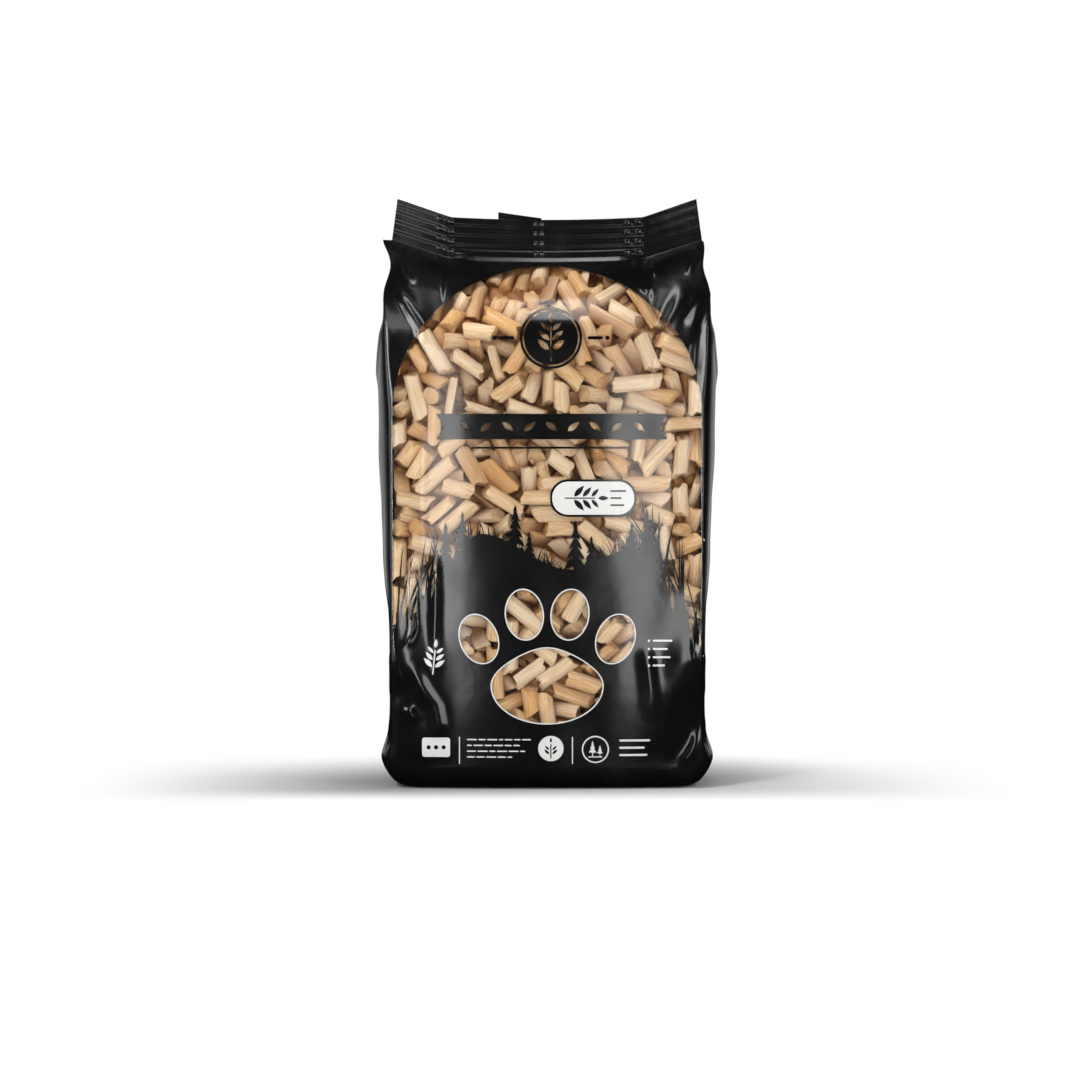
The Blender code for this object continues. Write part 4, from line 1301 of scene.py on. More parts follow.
def deep_fill_material(pellets):
    made, tree, output = new_material("pellets_deep_in_the_bag")
    place = tree.nodes.new("ShaderNodeTexCoord").outputs["Object"]
    scaled = place_node(tree, "ShaderNodeVectorMath", operation="SCALE")
    scaled.inputs["Scale"].default_value = 60.0
    tree.links.new(place, scaled.inputs[0])
    fibre = tree.nodes.new("ShaderNodeGroup")
    fibre.node_tree = shared_group("Pressed Wood", wood_fibre_group)
    tree.links.new(scaled.outputs[0], fibre.inputs["Place"])
    # Painted shade: the fill is the warm wood mixed part way to the dark colour, varied by the grain, and darker
    # still along the cell borders between the lumps
    cells = place_node(tree, "ShaderNodeTexVoronoi")
    cells.inputs["Scale"].default_value = 62.0
    tree.links.new(place, cells.inputs["Vector"])
    gap = ramp_between(tree, cells.outputs["Distance"], 0.35, 0.75)
    warmth = math_node(tree, "ADD", fibre.outputs["Tone"], 0.4, clamp=True)
    colour = mix_colours(tree, math_node(tree, "MULTIPLY", warmth, 0.6), tuple(pellets.warm), tuple(pellets.deep))
    colour = mix_colours(tree, gap, colour, tuple(0.7 * c for c in pellets.deep))
    shader = tree.nodes.new("ShaderNodeBsdfPrincipled")
    tree.links.new(colour, shader.inputs["Base Color"])
    shader.inputs["Roughness"].default_value = 0.85
    height = math_node(tree, "SUBTRACT", fibre.outputs["Height"], gap)
    tree.links.new(bump_from(tree, height, 0.003), shader.inputs["Normal"])
    tree.links.new(shader.outputs[0], output.inputs["Surface"])
    return made


class LITTER_OT_film(bpy.types.Operator):
    """Make the printed film, its clear panes and the pale print."""

    bl_idname = "litter.film"
    bl_label = "Film, Panes and Print"

    def execute(self, context):
        film = context.scene.litter_film
        points, faces, ink, apart, edges, soft = build_skin(film)
        points = relax(points, edges, soft)
        skin = (points, faces, apart, *corner_normals(points, faces, apart))
        black = black_film_material(film)
        clear = clear_film_material()
        toes = [f"toe_window_film_{number}" for number in range(1, 5)]
        finish_piece(piece_of_skin("printed_film", skin, ink == BLACK, black), "black_film", "film_bag")
        finish_piece(piece_of_skin("window_pane", skin, ink == CLEAR, clear), "clear_film", "window_film")
        paw = piece_of_skin("paw_panes", skin, ink == PAW_CLEAR, clear)
        finish_piece(paw, "clear_film", "pad_window_film", *toes)
        finish_piece(piece_of_skin("pale_print", skin, ink == PALE, pale_ink_material(film)), "black_film")
        return {"FINISHED"}


def thin_solid(name, grid, thickness, material):
    """A strip of film with two faces and closed edges."""
    rows, columns = grid.shape[:2]
    starts = [row * columns + column for row in range(rows - 1) for column in range(columns - 1)]
    faces = [(at, at + 1, at + columns + 1, at + columns) for at in starts]
    made = add_piece(name, grid.reshape(-1, 3), faces, material)
    wall = made.modifiers.new("wall", "SOLIDIFY")
    wall.thickness = thickness
    wall.offset = 0.0
    wall.use_even_offset = True
    return apply_modifiers(made)


def apply_modifiers(made):
    """The same object with its modifiers made part of its mesh, and its faces turned outwards."""
    evaluated = made.evaluated_get(bpy.context.evaluated_depsgraph_get())
    mesh = bpy.data.meshes.new_from_object(evaluated)
    made.modifiers.clear()
    old = made.data
    made.data = mesh
    mesh.name = made.name
    bpy.data.meshes.remove(old)
    shape = bmesh.new()
    shape.from_mesh(mesh)
    bmesh.ops.recalc_face_normals(shape, faces=shape.faces)
    shape.to_mesh(mesh)
    shape.free()
    mesh.shade_smooth()
    mesh.set_sharp_from_angle(angle=math.radians(50))
    return made


class LITTER_OT_back_fin(bpy.types.Operator):
    """Make the lengthwise back seam, folded flat, with its free corner standing above the top seal."""

    bl_idname = "litter.back_fin"
    bl_label = "Back Seam"

    def execute(self, context):
        film = context.scene.litter_film
        body, seal = np.linspace(0.050, BODY_HEIGHT, 150), np.linspace(BODY_HEIGHT, SEAL_TOP, 40)
        rows = np.concatenate([body, seal[1:]])
        shares = np.linspace(0.0, 1.0, 16)
        share, height = np.meshgrid(shares, rows)
        across = FIN_ROOT - share * FIN_WIDTH
        on_back = panel_point(across, height, 1, film)
        proud = FIN_PROUD * (0.25 + 0.75 * share) * smooth_step((height - BODY_HEIGHT) / SEAL_HEIGHT)
        lift = 0.0006 + 0.0011 * share**2
        loose = 1 + np.sin(height * 61.0) * 0.6 + np.sin(height * 23.0 + 1.0) * 0.4
        lift = lift + 0.0009 * share * loose * (height < BODY_HEIGHT)
        weld = 0.00025 * np.tanh(3 * np.sin(height / 0.0042 * math.pi))
        weld = weld * smooth_step((share - 0.25) / 0.1) * smooth_step((0.8 - share) / 0.1)
        grid = on_back.copy()
        grid[..., 1] += lift + weld
        grid[..., 2] += proud
        strip = thin_solid("back_seam", grid, 0.0007, bpy.data.materials["black_printed_film"])
        finish_piece(strip, "black_film")
        return {"FINISHED"}


class LITTER_OT_bottom_seal(bpy.types.Operator):
    """Make the bottom seal, folded flat under the base."""

    bl_idname = "litter.bottom_seal"
    bl_label = "Bottom Seal"

    def execute(self, context):
        half_length = HALF_WIDTH - 1.8 * BASE_RADIUS
        half_depth = FOLD_UNDER / 2
        across, depth = np.meshgrid(
            np.linspace(-half_length, half_length, 90), np.linspace(-half_depth, half_depth, 60)
        )
        ribs = 0.00022 * np.tanh(2 * np.sin(depth / 0.0085 * 2 * math.pi))
        ribs = ribs * smooth_step((0.019 - np.abs(depth)) / 0.003)
        grid = np.stack([across, depth, 0.00095 + ribs], axis=-1)
        strip = thin_solid("bottom_seal", grid, 0.0007, bpy.data.materials["black_printed_film"])
        finish_piece(strip, "black_film")
        return {"FINISHED"}


def film_front(across, up, film):
    """Depth of the film's front at a place behind it."""
    height = np.minimum(up, BODY_HEIGHT - 0.006)
    return panel_point(np.clip(across, -HALF_WIDTH, HALF_WIDTH), height, -1, film, creased=False)[..., 1]


def nearest_shares(a0, a1, b0, b1):
    """How far along each of two rods the pair comes nearest."""
    u, v, w = a1 - a0, b1 - b0, a0 - b0
    a, b, c = (u * u).sum(1), (u * v).sum(1), (v * v).sum(1)
    d, e = (u * w).sum(1), (v * w).sum(1)
    spread = a * c - b * b
    s = np.clip(np.where(spread > 1e-12, (b * e - c * d) / np.maximum(spread, 1e-12), 0.5), 0, 1)
    t = np.clip((b * s + e) / c, 0, 1)
    s = np.clip((b * t - d) / a, 0, 1)
    return s, t


def settle_pellets(pellets, film):
    """Pellets pushed up against the film without passing through each other: both ends of each, and its length."""
    chance = np.random.default_rng(pellets.seed)
    count, radius = pellets.count, pellets.diameter / 2
    length = pellets.shortest + (pellets.longest - pellets.shortest) * chance.beta(1.6, 2.0, count)
    rod = length - radius * 1.1
    middle = np.stack(
        [
            chance.uniform(-PELLETS_REACH, PELLETS_REACH, count),
            np.zeros(count),
            chance.uniform(PELLETS_LOW, PELLETS_TOP, count),
        ],
        axis=-1,
    )
    behind = chance.uniform(0.010, 0.050, count) * closing(middle[:, 2])
    middle[:, 1] = film_front(middle[:, 0], middle[:, 2], film) + behind
    way = chance.normal(size=(count, 3)) * np.array([1.0, 0.62, 1.0])
    way /= np.linalg.norm(way, axis=1, keepdims=True)
    first, last = middle - way * rod[:, None] / 2, middle + way * rod[:, None] / 2
    for step in range(SETTLING_ROUNDS):
        if step % 8 == 0:
            centre = (first + last) / 2
            gaps = np.linalg.norm(centre[:, None] - centre[None], axis=2)
            reach = (rod[:, None] + rod[None]) / 2 + 2 * radius + 0.004
            pairs = np.argwhere(np.triu(gaps < reach, 1))
        i, j = pairs.T
        s, t = nearest_shares(first[i], last[i], first[j], last[j])
        on_i = first[i] + (last[i] - first[i]) * s[:, None]
        on_j = first[j] + (last[j] - first[j]) * t[:, None]
        apart = on_i - on_j
        gap = np.maximum(np.linalg.norm(apart, axis=1), 1e-6)
        overlap = 2 * radius * 0.90 - gap
        hit = overlap > 0
        i, j, s, t = i[hit], j[hit], s[hit], t[hit]
        push = apart[hit] / gap[hit, None]
        share = overlap[hit] / ((1 - s) ** 2 + s**2 + (1 - t) ** 2 + t**2) * 0.42
        moved_first, moved_last = np.zeros_like(first), np.zeros_like(last)
        np.add.at(moved_first, i, push * (share * (1 - s))[:, None])
        np.add.at(moved_last, i, push * (share * s)[:, None])
        np.add.at(moved_first, j, -push * (share * (1 - t))[:, None])
        np.add.at(moved_last, j, -push * (share * t)[:, None])
        first += moved_first
        last += moved_last
        press = 0.00030 * (1 - step / SETTLING_ROUNDS) + 0.00003
        for end in (first, last):
            end[:, 1] -= press
            end[:, 2] = np.clip(end[:, 2], PELLETS_LOW, PELLETS_TOP)
            reach = PELLETS_REACH - PELLETS_NARROWER * smooth_step((end[:, 2] - 0.475) / 0.075)
            end[:, 0] = np.clip(end[:, 0], -reach, reach)
            front = film_front(end[:, 0], end[:, 2], film) + FILM + 0.0004 + radius
            end[:, 1] = np.maximum(end[:, 1], front)
        run = last - first
        stretch = rod / np.maximum(np.linalg.norm(run, axis=1), 1e-6)
        centre = (first + last) / 2
        first, last = centre - run * stretch[:, None] / 2, centre + run * stretch[:, None] / 2
    front = film_front(((first + last) / 2)[:, 0], ((first + last) / 2)[:, 2], film)
    sunk = np.minimum(0.0, np.minimum(first[:, 1], last[:, 1]) - front - FILM - radius)
    first[:, 1] -= sunk
    last[:, 1] -= sunk
    return first, last, length


def kept_inside(places, film):
    """The same points, pressed back behind the film where they would stand through it."""
    places[:, 2] = np.minimum(places[:, 2], FILL_TOP)
    height = places[:, 2]
    edge = panel_point(np.full(len(height), HALF_WIDTH), height, 1, film, creased=False)[:, 1]
    for side in (-1, 1):
        folded = gusset_point(np.clip(places[:, 1] / edge, -1, 1), height, side, film)[:, 0]
        beyond = side * (places[:, 0] - folded) + GUSSET_GAP > 0
        places[:, 0] = np.where(beyond, folded - side * GUSSET_GAP, places[:, 0])
    front = panel_point(places[:, 0], height, -1, film, creased=False)[:, 1] + PANEL_GAP
    back = panel_point(places[:, 0], height, 1, film, creased=False)[:, 1] - PANEL_GAP
    places[:, 1] = np.minimum(np.maximum(places[:, 1], front), np.maximum(back, front + 0.0005))
    return places


def unit_rod():
    """One pellet, a metre long and a metre thick, with worn edges; each point keeps its place on it."""
    sides = 12
    shape = bmesh.new()
    rings = []
    for up, radius in ((-0.5, 0.27), (-0.496, 0.5), (-0.17, 0.5), (0.17, 0.5), (0.496, 0.5), (0.5, 0.27)):
        angles = [2 * math.pi * step / sides for step in range(sides)]
        rings.append([shape.verts.new((math.cos(a) * radius, math.sin(a) * radius, up)) for a in angles])
    for lower, upper in zip(rings, rings[1:]):
        for step in range(sides):
            after = (step + 1) % sides
            shape.faces.new((lower[step], lower[after], upper[after], upper[step]))
    shape.faces.new(list(reversed(rings[0])))
    shape.faces.new(rings[-1])
    mesh = bpy.data.meshes.new("rod")
    shape.to_mesh(mesh)
    shape.free()
    mesh.shade_smooth()
    place = mesh.attributes.new("rod_place", "FLOAT_VECTOR", "POINT")
    place.data.foreach_set("vector", [value for vertex in mesh.vertices for value in vertex.co])
    return bpy.data.objects.new("rod", mesh)


def pellet_tree():
    """Puts a rod at every point, turned and stretched as the point says, then chips its ends and dents its sides."""
    tree = bpy.data.node_groups.new("Broken Pellets", "GeometryNodeTree")
    sockets = {}
    for name, kind in (
        ("Geometry", "NodeSocketGeometry"),
        ("Rod", "NodeSocketObject"),
        ("Diameter", "NodeSocketFloat"),
        ("Chipping", "NodeSocketFloat"),
        ("Lumps", "NodeSocketFloat"),
        ("Seed", "NodeSocketInt"),
        ("Material", "NodeSocketMaterial"),
    ):
        sockets[name] = tree.interface.new_socket(name=name, in_out="INPUT", socket_type=kind).identifier
    tree.interface.new_socket(name="Geometry", in_out="OUTPUT", socket_type="NodeSocketGeometry")
    given, result = tree.nodes.new("NodeGroupInput"), tree.nodes.new("NodeGroupOutput")
    link = tree.links.new

    def named(attribute, kind):
        made = place_node(tree, "GeometryNodeInputNamedAttribute", data_type=kind)
        made.inputs["Name"].default_value = attribute
        return made.outputs["Attribute"]

    def vector_math(operation, first, second=None, scale=None):
        made = place_node(tree, "ShaderNodeVectorMath", operation=operation)
        link(first, made.inputs[0])
        if second is not None:
            link(second, made.inputs[1])
        if scale is not None:
            link(scale, made.inputs["Scale"])
        return made.outputs[0]

    turn = tree.nodes.new("FunctionNodeEulerToRotation")
    link(named("turn", "FLOAT_VECTOR"), turn.inputs[0])
    size = tree.nodes.new("ShaderNodeCombineXYZ")
    link(given.outputs["Diameter"], size.inputs[0])
    link(given.outputs["Diameter"], size.inputs[1])
    link(named("length", "FLOAT"), size.inputs[2])
    rod = tree.nodes.new("GeometryNodeObjectInfo")
    link(given.outputs["Rod"], rod.inputs["Object"])
    copies = tree.nodes.new("GeometryNodeInstanceOnPoints")
    link(given.outputs["Geometry"], copies.inputs["Points"])
    link(rod.outputs["Geometry"], copies.inputs["Instance"])
    link(turn.outputs[0], copies.inputs["Rotation"])
    link(size.outputs[0], copies.inputs["Scale"])
    real = tree.nodes.new("GeometryNodeRealizeInstances")
    link(copies.outputs[0], real.inputs[0])

    place = named("rod_place", "FLOAT_VECTOR")
    tone = named("tone", "FLOAT")
    split = tree.nodes.new("ShaderNodeSeparateXYZ")
    link(place, split.inputs[0])
    end = ramp_between(tree, math_node(tree, "ABSOLUTE", split.outputs[2]), 0.30, 0.5, smooth=False)
    end = math_node(tree, "POWER", end, 3.0)
    which = math_node(tree, "SIGN", split.outputs[2])
    own = math_node(tree, "MULTIPLY_ADD", which, 2.3, math_node(tree, "MULTIPLY", tone, 157.0))
    own = math_node(tree, "ADD", own, given.outputs["Seed"])
    slant = math_node(
        tree,
        "ADD",
        math_node(tree, "MULTIPLY", split.outputs[0], math_node(tree, "COSINE", own)),
        math_node(tree, "MULTIPLY", split.outputs[1], math_node(tree, "SINE", own)),
    )
    spot = tree.nodes.new("ShaderNodeCombineXYZ")
    link(split.outputs[0], spot.inputs[0])
    link(split.outputs[1], spot.inputs[1])
    link(own, spot.inputs[2])
    chips = place_node(tree, "ShaderNodeTexNoise")
    chips.inputs["Scale"].default_value = 3.4
    chips.inputs["Detail"].default_value = 2.0
    link(spot.outputs[0], chips.inputs["Vector"])
    uneven = math_node(tree, "MULTIPLY", math_node(tree, "SUBTRACT", chips.outputs[0], 0.62), 2.4)
    uneven = math_node(tree, "ADD", uneven, math_node(tree, "MULTIPLY", slant, 1.25))
    reach = math_node(tree, "MULTIPLY", math_node(tree, "MULTIPLY", uneven, which), given.outputs["Chipping"])
    reach = math_node(tree, "MULTIPLY", reach, end)
    side = math_node(tree, "MULTIPLY", tone, 411.0)
    aside, across = math_node(tree, "COSINE", side), math_node(tree, "SINE", side)
    split_way = math_node(
        tree,
        "ADD",
        math_node(tree, "MULTIPLY", split.outputs[0], aside),
        math_node(tree, "MULTIPLY", split.outputs[1], across),
    )
    past = math_node(tree, "MAXIMUM", math_node(tree, "SUBTRACT", split_way, named("split", "FLOAT")), 0.0)
    past = math_node(tree, "MULTIPLY", math_node(tree, "MULTIPLY", past, -1.0), given.outputs["Diameter"])
    cut_way = tree.nodes.new("ShaderNodeCombineXYZ")
    link(aside, cut_way.inputs[0])
    link(across, cut_way.inputs[1])
    turned_cut = tree.nodes.new("FunctionNodeRotateVector")
    link(cut_way.outputs[0], turned_cut.inputs[0])
    link(turn.outputs[0], turned_cut.inputs[1])
    cut = vector_math("SCALE", turned_cut.outputs[0], scale=past)
    axis = tree.nodes.new("FunctionNodeRotateVector")
    axis.inputs[0].default_value = (0.0, 0.0, 1.0)
    link(turn.outputs[0], axis.inputs[1])
    chipped = vector_math("SCALE", axis.outputs[0], scale=reach)
    dents = place_node(tree, "ShaderNodeTexNoise")
    dents.inputs["Scale"].default_value = 95.0
    dents.inputs["Detail"].default_value = 2.0
    link(tree.nodes.new("GeometryNodeInputPosition").outputs[0], dents.inputs["Vector"])
    centred = place_node(tree, "ShaderNodeVectorMath", operation="SUBTRACT")
    link(dents.outputs[1], centred.inputs[0])
    centred.inputs[1].default_value = (0.5, 0.5, 0.5)
    dented = vector_math("SCALE", centred.outputs[0], scale=math_node(tree, "MULTIPLY", given.outputs["Lumps"], 2.0))
    moved = tree.nodes.new("GeometryNodeSetPosition")
    link(real.outputs[0], moved.inputs["Geometry"])
    link(vector_math("ADD", vector_math("ADD", chipped, cut), dented), moved.inputs["Offset"])
    painted = tree.nodes.new("GeometryNodeSetMaterial")
    link(moved.outputs[0], painted.inputs["Geometry"])
    link(given.outputs["Material"], painted.inputs["Material"])
    link(painted.outputs[0], result.inputs[0])
    return tree, sockets


class LITTER_OT_pellets(bpy.types.Operator):
    """Make the layers of broken wood pellets that lie behind the windows."""

    bl_idname = "litter.pellets"
    bl_label = "Pellets"

    def execute(self, context):
        pellets, film = context.scene.litter_pellets, context.scene.litter_film
        first, last, length = settle_pellets(pellets, film)
        chance = np.random.default_rng(pellets.seed + 1)
        turns = []
        for start, end in zip(first, last):
            aim = Vector(end - start).to_track_quat("Z", "Y")
            turns.append((aim @ Quaternion((0, 0, 1), chance.uniform(0, 2 * math.pi))).to_euler())
        tones = chance.beta(1.2, 1.9, len(length))
        splits = np.where(chance.random(len(length)) < 0.5, chance.uniform(0.0, 0.34, len(length)), 0.6)
        mesh = bpy.data.meshes.new("wood_pellets")
        mesh.from_pydata([tuple(place) for place in (first + last) / 2], [], [])
        for name, kind, values in (
            ("turn", "FLOAT_VECTOR", [value for turn in turns for value in turn]),
            ("length", "FLOAT", list(length)),
            ("tone", "FLOAT", list(tones)),
            ("split", "FLOAT", list(splits)),
        ):
            layer = mesh.attributes.new(name, kind, "POINT")
            layer.data.foreach_set("vector" if kind == "FLOAT_VECTOR" else "value", values)
        heap = bpy.data.objects.new("wood_pellets", mesh)
        context.scene.collection.objects.link(heap)
        rod = unit_rod()
        context.scene.collection.objects.link(rod)
        tree, sockets = pellet_tree()
        material = pellet_material(pellets)
        grown = heap.modifiers.new("pellets", "NODES")
        grown.node_group = tree
        for name, value in (
            ("Rod", rod),
            ("Diameter", pellets.diameter),
            ("Chipping", pellets.chipping),
            ("Lumps", pellets.lumps),
            ("Seed", pellets.seed),
            ("Material", material),
        ):
            grown[sockets[name]] = value
        evaluated = heap.evaluated_get(context.evaluated_depsgraph_get())
        made = bpy.data.meshes.new_from_object(evaluated)
        heap.modifiers.clear()
        heap.data = made
        bpy.data.meshes.remove(mesh)
        made.name = "wood_pellets"
        made.shade_smooth()
        places = np.zeros(len(made.vertices) * 3)
        made.vertices.foreach_get("co", places)
        made.vertices.foreach_set("co", kept_inside(places.reshape(-1, 3), film).reshape(-1))
        made.update()
        made.set_sharp_from_angle(angle=math.radians(36))
        places = places.reshape(-1, 3)
        # How far each point lies behind the film; the pellets' material turns it into painted shade
        sunk = made.attributes.new("sunk", "FLOAT", "POINT")
        behind = places[:, 1] - film_front(places[:, 0], places[:, 2], film)
        sunk.data.foreach_set("value", np.clip(behind, 0.0, 0.05))
        bpy.data.objects.remove(rod)
        finish_piece(heap, "pellets", "pellets")
        print("pellets:", len(made.vertices), "points")
        return {"FINISHED"}


class LITTER_OT_deep_fill(bpy.types.Operator):
    """Make the lumpy mass of pellets deeper in the bag."""

    bl_idname = "litter.deep_fill"
    bl_label = "Deep Fill"

    def execute(self, context):
        film = context.scene.litter_film
        heights = np.concatenate([np.linspace(0.012, 0.03, 4), np.linspace(0.036, BODY_HEIGHT - 0.005, 110)])
        rows = []
        for height in heights:
            level = np.full(FILL_COLUMNS, height)
            half = HALF_WIDTH - 0.006 - 0.064 * smooth_step((height - 0.46) / 0.1)
            across = np.linspace(-1, 1, FILL_COLUMNS) * half
            front = panel_point(across, level, -1, film, creased=False)
            back = panel_point(across, level, 1, film, creased=False)
            room = (back[:, 1] - front[:, 1]) / 2
            front[:, 1] += np.minimum(0.031 - 0.011 * (np.abs(across) / HALF_WIDTH) ** 4, room * 0.9)
            back[:, 1] -= np.minimum(0.007, room * 0.6)
            rows.append(np.concatenate([front, back[::-1]]))
        grid = np.array(rows)
        chance = np.random.default_rng(9)
        bumps = np.zeros(grid.shape[:2])
        for _ in range(40):
            way = chance.normal(size=3)
            way /= np.linalg.norm(way)
            bumps += np.sin(grid @ way * 2 * math.pi / chance.uniform(0.012, 0.024) + chance.uniform(0, 6.28))
        lumpy = 0.0045 * np.tanh(bumps / 5) * np.minimum(1.0, np.abs(grid[..., 1]) / 0.02)
        grid[..., 1] += np.where(np.arange(grid.shape[1]) < FILL_COLUMNS, lumpy, 0.3 * lumpy)
        count, around = grid.shape[:2]
        faces = []
        for row in range(count - 1):
            for step in range(around):
                after = (step + 1) % around
                low, high = row * around, (row + 1) * around
                faces.append((low + step, low + after, high + after, high + step))
        faces.append(tuple(reversed(range(around))))
        faces.append(tuple((count - 1) * around + step for step in range(around)))
        fill = add_piece("deep_fill", grid.reshape(-1, 3), faces, deep_fill_material(context.scene.litter_pellets))
        finish_piece(fill, "pellets")
        return {"FINISHED"}


def softbox(name, place, target, width, height, brightness, level, mirrored):
    """An area lamp whose reflection has the brightness given; one that isn't mirrored only lights."""
    lamp = bpy.data.lights.new(name, "AREA")
    lamp.shape = "RECTANGLE"
    lamp.size, lamp.size_y = width, height
    lamp.energy = brightness * level * math.pi * width * height
    made = bpy.data.objects.new(name, lamp)
    made.location = place
    made.rotation_mode = "QUATERNION"
    made.rotation_quaternion = (Vector(target) - Vector(place)).to_track_quat("-Z", "Y")
    made.visible_camera = False
    made.visible_glossy = mirrored
    bpy.context.scene.collection.objects.link(made)
    return made


def floor_material(studio):
    """Pale floor that keeps the bag's shadow near it and fades to white beyond, with a soft grey stripe of painted
    shadow round the bag's foot, stronger on the left; dark where the film mirrors it.
    """
    made, tree, output = new_material("pale_floor")
    place = tree.nodes.new("ShaderNodeTexCoord").outputs["Object"]
    split = tree.nodes.new("ShaderNodeSeparateXYZ")
    tree.links.new(place, split.inputs[0])
    beyond = []
    for axis, half in ((0, 0.13), (1, 0.04)):
        past = math_node(tree, "SUBTRACT", math_node(tree, "ABSOLUTE", split.outputs[axis]), half)
        past = math_node(tree, "MAXIMUM", past, 0.0)
        beyond.append(math_node(tree, "MULTIPLY", past, past))
    away = math_node(tree, "SQRT", math_node(tree, "ADD", *beyond))
    grain = place_node(tree, "ShaderNodeTexNoise")
    grain.inputs["Scale"].default_value = 240.0
    tree.links.new(place, grain.inputs["Vector"])
    tone = ramp_between(tree, grain.outputs["Fac"], 0.3, 0.7, 0.90, 0.93)
    path = tree.nodes.new("ShaderNodeLightPath")
    plain = tree.nodes.new("ShaderNodeBsdfDiffuse")
    shade = tree.nodes.new("ShaderNodeCombineXYZ")
    tree.links.new(shade.outputs[0], plain.inputs["Color"])
    white = tree.nodes.new("ShaderNodeEmission")
    white.inputs["Strength"].default_value = 1.0
    # Painted shadow: a soft grey stripe across the floor round the bag's foot, stronger on the left, darkens both the
    # lit floor and the white it fades to
    before = ramp_between(tree, split.outputs[1], -0.180, -0.050)
    after = ramp_between(tree, split.outputs[1], 0.250, -0.010)
    wide = ramp_between(tree, math_node(tree, "ABSOLUTE", split.outputs[0]), 0.52, 0.14)
    painted_shadow_band = math_node(tree, "MULTIPLY", math_node(tree, "MULTIPLY", before, after), wide)
    painted_shadow_band = math_node(tree, "MULTIPLY", painted_shadow_band, ramp_between(tree, split.outputs[0], -0.25, 0.25, 0.74, 0.46))
    after_painted_shadow = math_node(tree, "SUBTRACT", 1.0, painted_shadow_band)
    tree.links.new(after_painted_shadow, white.inputs["Strength"])
    for socket in shade.inputs:
        tree.links.new(math_node(tree, "MULTIPLY", tone, after_painted_shadow), socket)
    far = ramp_between(tree, away, 0.03, studio.shade_reach)
    seen = math_node(tree, "MULTIPLY", far, path.outputs["Is Camera Ray"])
    fade = tree.nodes.new("ShaderNodeMixShader")
    tree.links.new(seen, fade.inputs["Fac"])
    tree.links.new(plain.outputs[0], fade.inputs[1])
    tree.links.new(white.outputs[0], fade.inputs[2])
    dark = tree.nodes.new("ShaderNodeEmission")
    dark.inputs["Strength"].default_value = 0.004
    mirrored = tree.nodes.new("ShaderNodeMixShader")
    tree.links.new(path.outputs["Is Glossy Ray"], mirrored.inputs["Fac"])
    tree.links.new(fade.outputs[0], mirrored.inputs[1])
    tree.links.new(dark.outputs[0], mirrored.inputs[2])
    tree.links.new(mirrored.outputs[0], output.inputs["Surface"])
    return made


def room_light(studio):
    """White to the camera, white to mirrors that look past the bag, and an even light from all round."""
    world = bpy.data.worlds.new("studio")
    world.use_nodes = True
    bpy.context.scene.world = world
    tree = world.node_tree
    tree.nodes.clear()
    output = tree.nodes.new("ShaderNodeOutputWorld")
    path = tree.nodes.new("ShaderNodeLightPath")
    split = tree.nodes.new("ShaderNodeSeparateXYZ")
    tree.links.new(tree.nodes.new("ShaderNodeTexCoord").outputs["Generated"], split.inputs[0])
    behind = ramp_between(tree, split.outputs[1], 0.25, 0.95, 0.0, 0.36)
    glossy = math_node(tree, "MAXIMUM", behind, 0.003)
    level = tree.nodes.new("ShaderNodeMix")
    level.data_type = "FLOAT"
    tree.links.new(path.outputs["Is Glossy Ray"], level.inputs["Factor"])
    above = tree.nodes.new("ShaderNodeVectorMath")
    above.operation = "DOT_PRODUCT"
    above.inputs[1].default_value = (-0.40, -0.55, 0.73)
    tree.links.new(tree.nodes.new("ShaderNodeTexCoord").outputs["Generated"], above.inputs[0])
    room = ramp_between(tree, above.outputs["Value"], -0.9, 0.95, 0.35 * studio.room_level, 1.55 * studio.room_level)
    tree.links.new(room, level.inputs[2])
    tree.links.new(glossy, level.inputs[3])
    seen = tree.nodes.new("ShaderNodeMix")
    seen.data_type = "FLOAT"
    either = math_node(tree, "MAXIMUM", path.outputs["Is Camera Ray"], path.outputs["Is Transmission Ray"])
    tree.links.new(either, seen.inputs["Factor"])
    tree.links.new(level.outputs[0], seen.inputs[2])
    seen.inputs[3].default_value = 1.0
    shine = tree.nodes.new("ShaderNodeBackground")
    shine.inputs["Color"].default_value = (1, 1, 1, 1)
    tree.links.new(seen.outputs[0], shine.inputs["Strength"])
    tree.links.new(shine.outputs[0], output.inputs["Surface"])


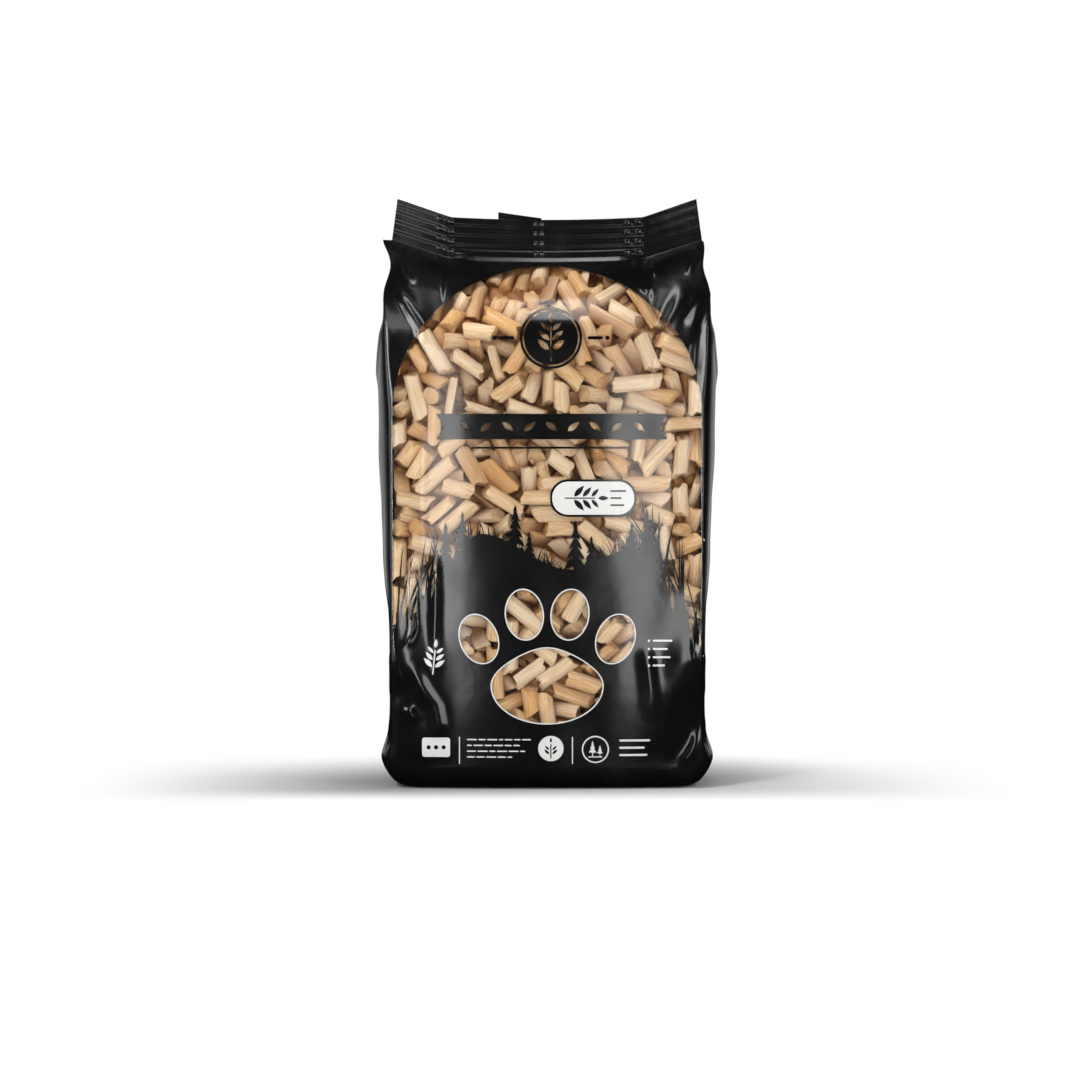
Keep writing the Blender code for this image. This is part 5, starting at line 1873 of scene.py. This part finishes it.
class LITTER_OT_studio(bpy.types.Operator):
    """Make the floor, the lamps, the light of the room and the camera."""

    bl_idname = "litter.studio"
    bl_label = "Studio"

    def execute(self, context):
        studio = context.scene.litter_studio
        context.scene.view_settings.view_transform = "Standard"
        shape = bmesh.new()
        bmesh.ops.create_circle(shape, cap_ends=True, radius=3.2, segments=96)
        mesh = bpy.data.meshes.new("floor")
        shape.to_mesh(mesh)
        shape.free()
        mesh.materials.append(floor_material(studio))
        floor = bpy.data.objects.new("floor", mesh)
        context.scene.collection.objects.link(floor)
        level = studio.lamp_level
        for *lamp, mirrored in LAMPS:
            softbox(*lamp, level, mirrored)
        room_light(studio)
        camera = bpy.data.cameras.new("camera")
        camera.lens = studio.lens
        camera.sensor_width = 36.0
        camera.clip_end = 50.0
        made = bpy.data.objects.new("camera", camera)
        made.location = CAMERA_PLACE
        made.rotation_mode = "QUATERNION"
        made.rotation_quaternion = (Vector(CAMERA_TARGET) - made.location).to_track_quat("-Z", "Y")
        context.scene.collection.objects.link(made)
        context.scene.camera = made
        return {"FINISHED"}


class LITTER_PT_bag(bpy.types.Panel):
    """The litter bag's pieces and settings."""

    bl_idname = "LITTER_PT_bag"
    bl_label = "Litter Bag"
    bl_space_type = "VIEW_3D"
    bl_region_type = "UI"
    bl_category = "Litter Bag"

    def draw(self, context):
        film = ("front_step", "edge_step", "rib_depth", "ripple", "crease_round", "black", "pale")
        sizes = ("count", "diameter", "shortest", "longest", "chipping", "lumps", "seed")
        colours = ("pale", "warm", "deep")
        studio = ("lamp_level", "room_level", "lens", "shade_reach")
        for settings, names in (
            (context.scene.litter_film, film),
            (context.scene.litter_pellets, sizes + colours),
            (context.scene.litter_studio, studio),
        ):
            box = self.layout.box()
            for name in names:
                box.prop(settings, name)
        for piece in PIECES:
            self.layout.operator(piece.bl_idname)


PIECES = (
    LITTER_OT_film,
    LITTER_OT_back_fin,
    LITTER_OT_bottom_seal,
    LITTER_OT_pellets,
    LITTER_OT_deep_fill,
    LITTER_OT_studio,
)
CLASSES = (FilmSettings, PelletSettings, StudioSettings, *PIECES, LITTER_PT_bag)


def register():
    for one in CLASSES:
        bpy.utils.register_class(one)
    bpy.types.Scene.litter_film = bpy.props.PointerProperty(type=FilmSettings)
    bpy.types.Scene.litter_pellets = bpy.props.PointerProperty(type=PelletSettings)
    bpy.types.Scene.litter_studio = bpy.props.PointerProperty(type=StudioSettings)


def unregister():
    del bpy.types.Scene.litter_studio
    del bpy.types.Scene.litter_pellets
    del bpy.types.Scene.litter_film
    for one in reversed(CLASSES):
        bpy.utils.unregister_class(one)


def main():
    register()
    bpy.ops.litter.film()
    bpy.ops.litter.back_fin()
    bpy.ops.litter.bottom_seal()
    bpy.ops.litter.pellets()
    bpy.ops.litter.deep_fill()
    bpy.ops.litter.studio()


if __name__ == "__main__":
    main()
